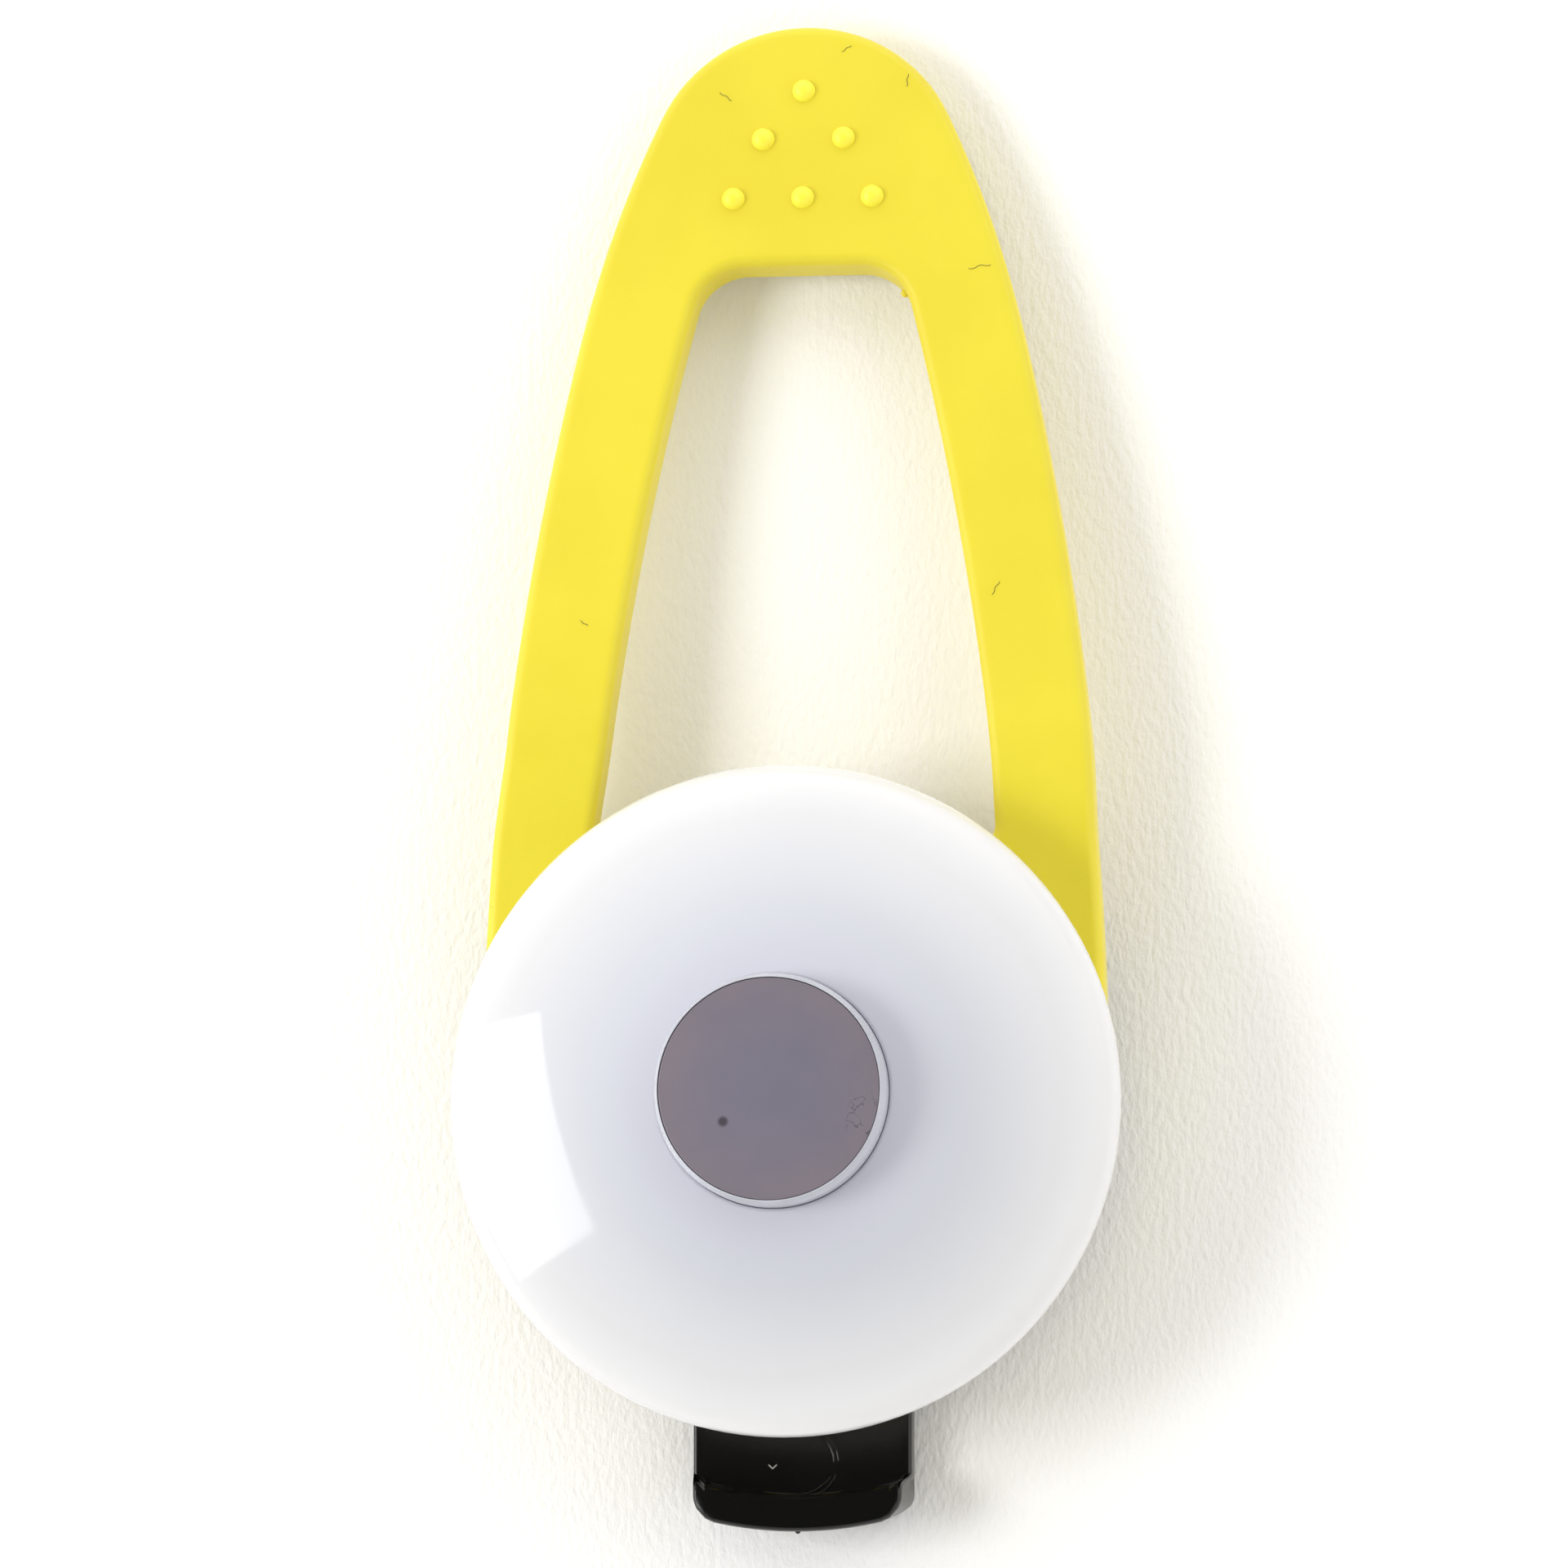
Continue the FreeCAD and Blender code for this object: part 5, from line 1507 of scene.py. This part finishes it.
@dataclass
class Strap:
    """The silicone loop: a ring round the neck, two arms and a tip with grip dots."""

    studs: Scatter
    threads: Threads
    ring: float = 14.6 * MM
    neck: float = 11.8 * MM
    reach: float = 51.55 * MM
    thick: float = 2.6 * MM
    tip_round: float = 7.5 * MM
    shoulder: float = 54.6 * MM
    ease: float = 1.1
    tip_length: float = 11.75 * MM
    loop_neck: float = 4.65 * MM
    arm_root: float = 5.02 * MM
    loop_bend: float = 170.0 * MM
    loop_corner: float = 2.5 * MM
    crotch: float = 0.9 * MM
    edge: float = 0.5 * MM
    edge_run: float = 0.18 * MM
    neck_edge: float = 0.25 * MM
    bend_offset: float = 2.9 * MM
    pitch: float = 9.0 * MM
    slice_pitch: float = 0.75 * MM
    slice_past: float = 2 * MM
    settle: float = 3.0 * MM
    lean: float = 0.2 * MM
    edge_steps: int = 8
    dot_radius: float = 0.55 * MM
    dot_rise: float = 0.46 * MM
    dot_rows: tuple[tuple[float, tuple[float, ...]], ...] = (
        (3.25 * MM, (0.0,)),
        (5.6 * MM, (-1.91 * MM, 1.91 * MM)),
        (8.5 * MM, (-3.3 * MM, 0.0, 3.3 * MM)),
    )
    lengths: tuple[Length, ...] = (
        Length(
            "strap_root",
            ("lamp", "strap_near"),
            ("strap_collar", "strap_arm_lower_left", "strap_arm_lower_right"),
            (-0.27, 0.3),
            0.5,
        ),
        Length(
            "strap_arms",
            ("strap_near", "strap_middle"),
            ("strap_arm_upper_left", "strap_arm_upper_right"),
            (0.5, 1.5),
            1.5,
        ),
        Length("strap_end", ("strap_middle", "strap_far"), ("strap_tip",), (1.5, 2.5), math.inf),
    )
    nib: float = 0.2 * MM
    nib_flatten: float = 0.7
    nibs: tuple[Speckle, ...] = (
        Speckle("strap_far", "strap_tip", ((-4.62, 50.05), (4.78, 38.62))),
        Speckle("strap_middle", "strap_arm_upper_left", ((-7.02, 30.6),)),
    )
    hairs: tuple[Speckle, ...] = (
        Speckle(
            "strap_far",
            "strap_tip",
            ((-4.0, 48.3, -1.0, 0.8), (7.9, 39.4, -0.2, 1.2), (4.9, 48.4, 1.1, 0.7), (1.8, 50.2, 0.2, 0.6)),
        ),
        Speckle("strap_near", "strap_arm_lower_right", ((9.1, 23.6, 0.7, 0.8), (-9.9, 22.4, 2.2, 0.5))),
    )
    hair_lift: float = 0.01 * MM
    hair_points: int = 12
    hair_wave: float = 0.8
    hair_swing: float = 0.32

    def __post_init__(self) -> None:
        """Works out the bend lines and the slope of the free part."""
        self.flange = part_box("strap_collar")[0].z
        self.start = self.ring + self.bend_offset
        self.slope = math.asin(self.flange / (self.reach - self.start))

    def outside(self) -> Loop:
        """The egg-shaped outline.

        Returns:
            Sides, shoulders, tip and ring, each tangent to the next.
        """
        tip = self.reach - self.tip_round
        side = self.ease * (self.ring**2 + tip**2 - self.tip_round**2) / (2 * (self.ring - self.tip_round))
        first, third = Vector((0.0, tip)), Vector((self.ring - side, 0.0))
        second = min(
            crossings(first, self.shoulder - self.tip_round, third, side - self.shoulder), key=lambda c: c.y
        )
        low = math.atan2(second.y - third.y, second.x - third.x)
        high = math.atan2(first.y - second.y, first.x - second.x)
        loop = Loop()
        loop.add_arc((third.x, third.y), side, 0.0, low, Side.INSIDE)
        loop.add_arc((second.x, second.y), self.shoulder, low, high, Side.INSIDE)
        loop.add_arc((0.0, tip), self.tip_round, high, math.pi - high, Side.INSIDE)
        loop.add_arc((-second.x, second.y), self.shoulder, math.pi - high, math.pi - low, Side.INSIDE)
        loop.add_arc((-third.x, third.y), side, math.pi - low, math.pi, Side.INSIDE)
        loop.add_arc((0.0, 0.0), self.ring, math.pi, math.tau, Side.INSIDE)
        return loop

    def opening(self) -> Loop:
        """The loop's opening.

        Returns:
            Bowed sides, a straight far end and the ring's edge as the near end.
        """
        top = self.reach - self.tip_length
        foot = self.ring - self.arm_root
        sill = math.sqrt(self.ring**2 - foot**2)
        low, high = Vector((foot, sill)), Vector((self.loop_neck, top))
        middle, chord = (low + high) / 2, high - low
        left = Vector((-chord.y, chord.x)).normalized()
        centre = middle + left * math.sqrt(self.loop_bend**2 - chord.length_squared / 4)
        bend, corner, small = self.loop_bend, self.loop_corner, self.crotch
        reach = bend - corner
        corner_y = top - corner
        corner_x = centre.x + math.sqrt(reach**2 - (corner_y - centre.y) ** 2)
        up = math.atan2(corner_y - centre.y, corner_x - centre.x)
        meets = crossings(Vector((0.0, 0.0)), self.ring + small, centre, bend - small)
        hub = max(meets, key=lambda p: (p.y > 0, p.x))
        start = math.atan2(hub.y - centre.y, hub.x - centre.x)
        sill_turn = math.atan2(hub.y, hub.x)
        loop = Loop()
        loop.add_arc((centre.x, centre.y), bend, start, up, Side.OUTSIDE)
        loop.add_arc((corner_x, corner_y), corner, up, math.pi / 2, Side.OUTSIDE)
        loop.add_line(Vector((corner_x, top)), Vector((-corner_x, top)), Vector((0.0, -1.0)))
        loop.add_arc((-corner_x, corner_y), corner, math.pi / 2, math.pi - up, Side.OUTSIDE)
        loop.add_arc((-centre.x, centre.y), bend, math.pi - up, math.pi - start, Side.OUTSIDE)
        loop.add_arc((-hub.x, hub.y), small, math.pi - start, math.tau - sill_turn, Side.OUTSIDE)
        loop.add_arc((0.0, 0.0), self.ring, math.pi - sill_turn, sill_turn, Side.INSIDE)
        loop.add_arc((hub.x, hub.y), small, math.pi + sill_turn, math.tau + start, Side.OUTSIDE)
        return loop

    def neck_hole(self) -> Loop:
        """The hole round the housing's neck."""
        loop = Loop()
        loop.add_arc((0.0, 0.0), self.neck, 0.0, math.tau, Side.OUTSIDE)
        return loop

    def section(self, edge: float) -> list[Point]:
        """The rounded side of the strap, seen in section.

        Args:
            edge: radius of its rounding.

        Returns:
            (depth into the silicone, height) from the top face to the back face.
        """
        turn = [math.pi / 2 * k / self.edge_steps for k in range(self.edge_steps + 1)]
        upper = [(edge + self.edge_run, self.thick)]
        upper += [(edge * (1 - math.sin(a)), self.thick - edge * (1 - math.cos(a))) for a in turn]
        return upper + [(depth, self.thick - height) for depth, height in reversed(upper)]

    def blank(self) -> bmesh.types.BMesh:
        """The whole strap laid flat.

        Returns:
            A closed shape with its back face at height 0.
        """
        shape = bmesh.new()
        lids: tuple[list[bmesh.types.BMEdge], list[bmesh.types.BMEdge]] = ([], [])
        plans = ((self.outside(), self.edge), (self.opening(), self.edge), (self.neck_hole(), self.neck_edge))
        for plan, edge in plans:
            rings = []
            for depth, height in self.section(edge):
                rings.append([shape.verts.new((p.x, p.y, height)) for p in plan.shrunk(depth)])
            count = len(rings[0])
            for upper, lower in zip(rings, rings[1:]):
                for i in range(count):
                    j = (i + 1) % count
                    shape.faces.new((upper[i], upper[j], lower[j], lower[i]))
            for lid, ring in zip(lids, (rings[0], rings[-1])):
                lid += [shape.edges.get((ring[i], ring[(i + 1) % count])) for i in range(count)]
        for lid, way in zip(lids, (1.0, -1.0)):
            bmesh.ops.triangle_fill(shape, use_beauty=True, edges=lid, normal=(0.0, 0.0, way))
        bmesh.ops.recalc_face_normals(shape, faces=shape.faces[:])
        return shape

    @staticmethod
    def split(shape: bmesh.types.BMesh, at: float, way: float = 1.0, drop: bool = False) -> None:
        """Cuts a shape across the strap.

        Args:
            shape: the shape.
            at: distance of the cut from the lamp's axis.
            way: 1 or -1, the side of the cut that counts as outer.
            drop: whether the outer side is taken off.
        """
        everything = shape.verts[:] + shape.edges[:] + shape.faces[:]
        bmesh.ops.bisect_plane(
            shape,
            geom=everything,
            plane_co=(0, at, 0),
            plane_no=(0, way, 0),
            clear_outer=drop,
            dist=ON_PLANE,
        )

    def cut_between(self, low: float, high: float) -> bmesh.types.BMesh:
        """The part of the blank between two distances from the lamp's axis.

        Args:
            low: where it begins.
            high: where it ends.

        Returns:
            That part, sliced fine where it bends, and closed.
        """
        shape = self.blank()
        at = max(low, self.start - self.pitch)
        while at < min(high, self.reach - self.tip_length + self.slice_past):
            self.split(shape, at)
            at += self.slice_pitch
        for plane, way in ((low, -1.0), (high, 1.0)):
            self.split(shape, plane, way, drop=True)
            rim = [e for e in shape.edges if e.is_boundary]
            if rim:
                bmesh.ops.holes_fill(shape, edges=rim)
        return shape

    def lay(self, place: Vector) -> Vector:
        """Lays a point of the flat blank, whose free part slopes down to the table.

        Args:
            place: the point on the blank.

        Returns:
            Where it lies.
        """
        hinge = Vector((0.0, self.start, self.flange))
        flat = place + Vector((0.0, 0.0, self.flange))
        turned = hinge + Matrix.Rotation(-self.slope, 3, "X") @ (flat - hinge)
        laid = flat.lerp(turned, eased((place.y - self.start) / self.settle + 0.5))
        laid.x += self.lean * eased((place.y - self.neck) / (self.start - self.neck))
        return laid

    def hinge(self, index: float) -> Vector:
        """A point on a bend line, counted from 0, on the strap's back face."""
        down = Vector((0.0, math.cos(self.slope), -math.sin(self.slope)))
        return Vector((0.0, self.start, self.flange)) + down * (index * self.pitch)

    def build(self) -> None:
        """Makes the strap's lengths, the grip dots, the nibs of flash and the hairs."""
        begin = -self.ring - MM
        for length in self.lengths:
            stop = min(self.start + length.stop * self.pitch, self.reach + MM)
            self.make_length(length, begin, stop)
            begin = stop
        self.add_dots()
        self.add_nibs()
        self.add_hairs()

    def make_length(self, length: Length, begin: float, stop: float) -> None:
        """Makes one length.

        Args:
            length: which one.
            begin: where it begins, from the lamp's axis.
            stop: where it ends.
        """
        shape = self.cut_between(begin, stop)
        for vert in shape.verts:
            vert.co = self.lay(vert.co)
        piece = from_bmesh(length.name, shape, Finish.SILICONE)
        piece.data.shade_smooth()
        piece.data.set_sharp_from_angle(angle=SMOOTH_ANGLE)
        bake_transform(piece)
        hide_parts(*length.nodes)
        LOG.info("strap: %s, %d faces", length.name, len(piece.data.polygons))

    def add_dots(self) -> None:
        """Sets the grip dots on the tip."""
        height = self.thick - (self.dot_radius - self.dot_rise)
        flat = [Vector((x, self.reach - from_tip, height)) for from_tip, row in self.dot_rows for x in row]
        places = [self.lay(place) for place in flat]
        dots = self.studs.stud("grip_dots", places, self.dot_radius, 1.0, Finish.DOTS)
        beside(dots, "strap_far")
        LOG.info("strap: %d grip dots", len(places))

    def add_nibs(self) -> None:
        """Leaves small nibs of flash along the parting line."""
        for group in self.nibs:
            centres = [self.lay(Vector((x * MM, y * MM, self.thick / 2))) for x, y in group.places]
            name = "flash_" + group.body
            nib = self.studs.stud(name, centres, self.nib, self.nib_flatten, Finish.SILICONE)
            beside(nib, group.body)

    def add_hairs(self) -> None:
        """Lays a few short curly hairs on the face."""
        for group in self.hairs:
            lines = [
                self.curl(Vector((x * MM, y * MM)), turn, length * MM) for x, y, turn, length in group.places
            ]
            hair = self.threads.spin("lint_" + group.body, lines, Finish.LINT)
            beside(hair, group.body)

    def curl(self, start: Vector, turn: float, length: float) -> list[Vector]:
        """A short curling line on the strap's face.

        Args:
            start: where it starts, on the flat strap.
            turn: its first direction, in radians.
            length: its length.

        Returns:
            Its points once the strap is laid.
        """
        place, points = start.copy(), []
        for k in range(self.hair_points):
            points.append(self.lay(Vector((place.x, place.y, self.thick + self.hair_lift))))
            turn += math.sin(k * self.hair_wave) * self.hair_swing
            place += Vector((math.cos(turn), math.sin(turn))) * (length / self.hair_points)
        return points


@dataclass
class Works:
    """Everything sealed inside: cell, contacts, board, lamps and switch."""

    finishes: dict[str, Finish] = field(
        default_factory=lambda: {
            "circuit_board": Finish.BOARD,
            "coin_cell_can": Finish.NICKEL,
            "coin_cell_cap": Finish.NICKEL,
            "coin_cell_gasket": Finish.GASKET,
            "coin_cell_core": Finish.CORE,
            "negative_contact": Finish.SPRING,
            "positive_contact": Finish.SPRING,
            "control_chip": Finish.EPOXY,
            "chip_leads": Finish.TIN,
            "resistors": Finish.RESISTOR,
            "capacitor": Finish.CERAMIC,
            "switch_body": Finish.NYLON,
            "switch_cover": Finish.NICKEL,
            "switch_legs": Finish.TIN,
            "snap_dome": Finish.SPRING,
            **{f"led_{place}": Finish.PACKAGE for place in ("top", "left", "right")},
            **{f"led_{place}_lens": Finish.PHOSPHOR for place in ("top", "left", "right")},
        }
    )

    def build(self) -> None:
        """Dresses the inner nodes."""
        for node, finish in self.finishes.items():
            dress(node, finish)
        LOG.info("works: %d nodes dressed", len(self.finishes))


# ---------------------------------------------------------------------------------------------
# Studio
# ---------------------------------------------------------------------------------------------
@dataclass(frozen=True)
class SoftBox:
    """A rectangular light that faces the lamp.

    Attributes:
        name: the light's name.
        place: its centre.
        size: its width and height.
        glow: its brightness, where 1 is a white wall.
        roll: its turn about its own axis.
        shines: whether it lights matt surfaces.
        mirrored: whether glossy surfaces show it.
    """

    name: str
    place: Colour
    size: Point
    glow: float
    roll: float = 0.0
    shines: bool = True
    mirrored: bool = True

    def build(self) -> None:
        """Adds the light to the scene."""
        light = bpy.data.lights.new(self.name, "AREA")
        light.shape = "RECTANGLE"
        light.size, light.size_y = self.size
        light.energy = self.glow * math.pi * self.size[0] * self.size[1]
        holder = bpy.data.objects.new(self.name, light)
        holder.location = self.place
        turn = Vector(self.place).to_track_quat("Z", "Y").to_matrix() @ Matrix.Rotation(self.roll, 3, "Z")
        holder.rotation_euler = turn.to_euler()
        holder.visible_diffuse = self.shines
        holder.visible_glossy = self.mirrored
        bpy.context.scene.collection.objects.link(holder)


@dataclass
class Studio:
    """Paper floor, a soft key light from the left, white walls all round and the camera."""

    floor: float = 1.6
    key: SoftBox = SoftBox("key", (-0.42, -0.01, 0.44), (0.22, 0.22), 10.0, mirrored=False)
    window: SoftBox = SoftBox(
        "window", (-0.436, -0.040, 0.243), (0.335, 0.31), 4.1, roll=math.radians(13), shines=False
    )
    wall_glow: float = 1.44
    far_wall: float = 0.30
    right_wall: float = 0.10
    ceiling_glow: float = 0.08
    ceiling_edge: tuple[float, float] = (0.72, 0.93)
    wall_colour: Colour = (1.0, 0.99, 0.975)
    target: Colour = (-0.621 * MM, 15.22 * MM, 4.0 * MM)
    lean_right: float = math.radians(6.5)
    lean_down: float = math.radians(6.7)
    distance: float = 390 * MM
    lens: float = 191.3
    sensor: float = 36.0
    clip: tuple[float, float] = (0.01, 20.0)

    def build(self) -> None:
        """Makes the floor, walls, lights and camera."""
        self.make_floor()
        self.make_walls()
        self.key.build()
        self.window.build()
        self.make_camera()
        LOG.info("studio: camera %.0f mm away", self.distance / MM)

    def make_floor(self) -> None:
        """Lays the sheet of paper."""
        shape = bmesh.new()
        bmesh.ops.create_grid(shape, x_segments=4, y_segments=4, size=self.floor)
        sheet = bpy.data.meshes.new("paper_floor")
        shape.to_mesh(sheet)
        shape.free()
        sheet.materials.append(Paper().make())
        new_object("paper_floor", sheet)

    def make_walls(self) -> None:
        """Surrounds the scene with white walls under a dim ceiling."""
        world = bpy.data.worlds.new("studio")
        world.use_nodes = True
        world.node_tree.nodes.clear()
        tree = Tree(world.node_tree)
        way = tree.node("ShaderNodeTexCoord").outputs["Generated"]
        split = tree.node("ShaderNodeSeparateXYZ", None, {0: way}).outputs
        right, far, height = (Value(tree, split[letter]) for letter in "XYZ")
        walls = (far * self.far_wall + right * self.right_wall + 1.0) * self.wall_glow
        ceiling = height.smooth(*self.ceiling_edge)
        glow = ceiling * self.ceiling_glow + (1 - ceiling) * walls
        inputs = {"Color": (*self.wall_colour, 1.0), "Strength": glow}
        background = tree.node("ShaderNodeBackground", None, inputs)
        tree.node("ShaderNodeOutputWorld", None, {0: background.outputs[0]})
        bpy.context.scene.world = world

    def make_camera(self) -> None:
        """Sets the camera almost straight above, leaning a little to the right and down."""
        camera = bpy.data.cameras.new("camera")
        camera.lens = self.lens
        camera.sensor_width = self.sensor
        camera.clip_start, camera.clip_end = self.clip
        holder = bpy.data.objects.new("camera", camera)
        out = Vector((math.tan(self.lean_right), -math.tan(self.lean_down), 1.0)).normalized()
        right = Vector((0.0, 1.0, 0.0)).cross(out).normalized()
        up = out.cross(right)
        turn = Matrix((right, up, out)).transposed()
        holder.matrix_world = Matrix.Translation(Vector(self.target) + out * self.distance) @ turn.to_4x4()
        bpy.context.scene.collection.objects.link(holder)
        bpy.context.scene.camera = holder


def corners(box: tuple[Vector, Vector]) -> list[list[float]]:
    """A box's lowest and highest corners as plain numbers."""
    return [[float(x) for x in corner] for corner in box]


def main() -> None:
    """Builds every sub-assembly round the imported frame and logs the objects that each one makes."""
    logging.basicConfig(level=logging.INFO, format="%(name)s: %(message)s")
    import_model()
    bpy.context.scene.view_settings.view_transform = "Standard"
    turned, studs, threads = TurnedForm(), Scatter(), Threads()
    for assembly in (Studio(), Dome(turned), Button(turned), Base(studs), Strap(studs, threads), Works()):
        known = set(bpy.data.objects.keys())
        assembly.build()
        for name in sorted(set(bpy.data.objects.keys()) - known):
            LOG.info("%s made %s", type(assembly).__name__.lower(), name)


if __name__ == "__main__":
    main()
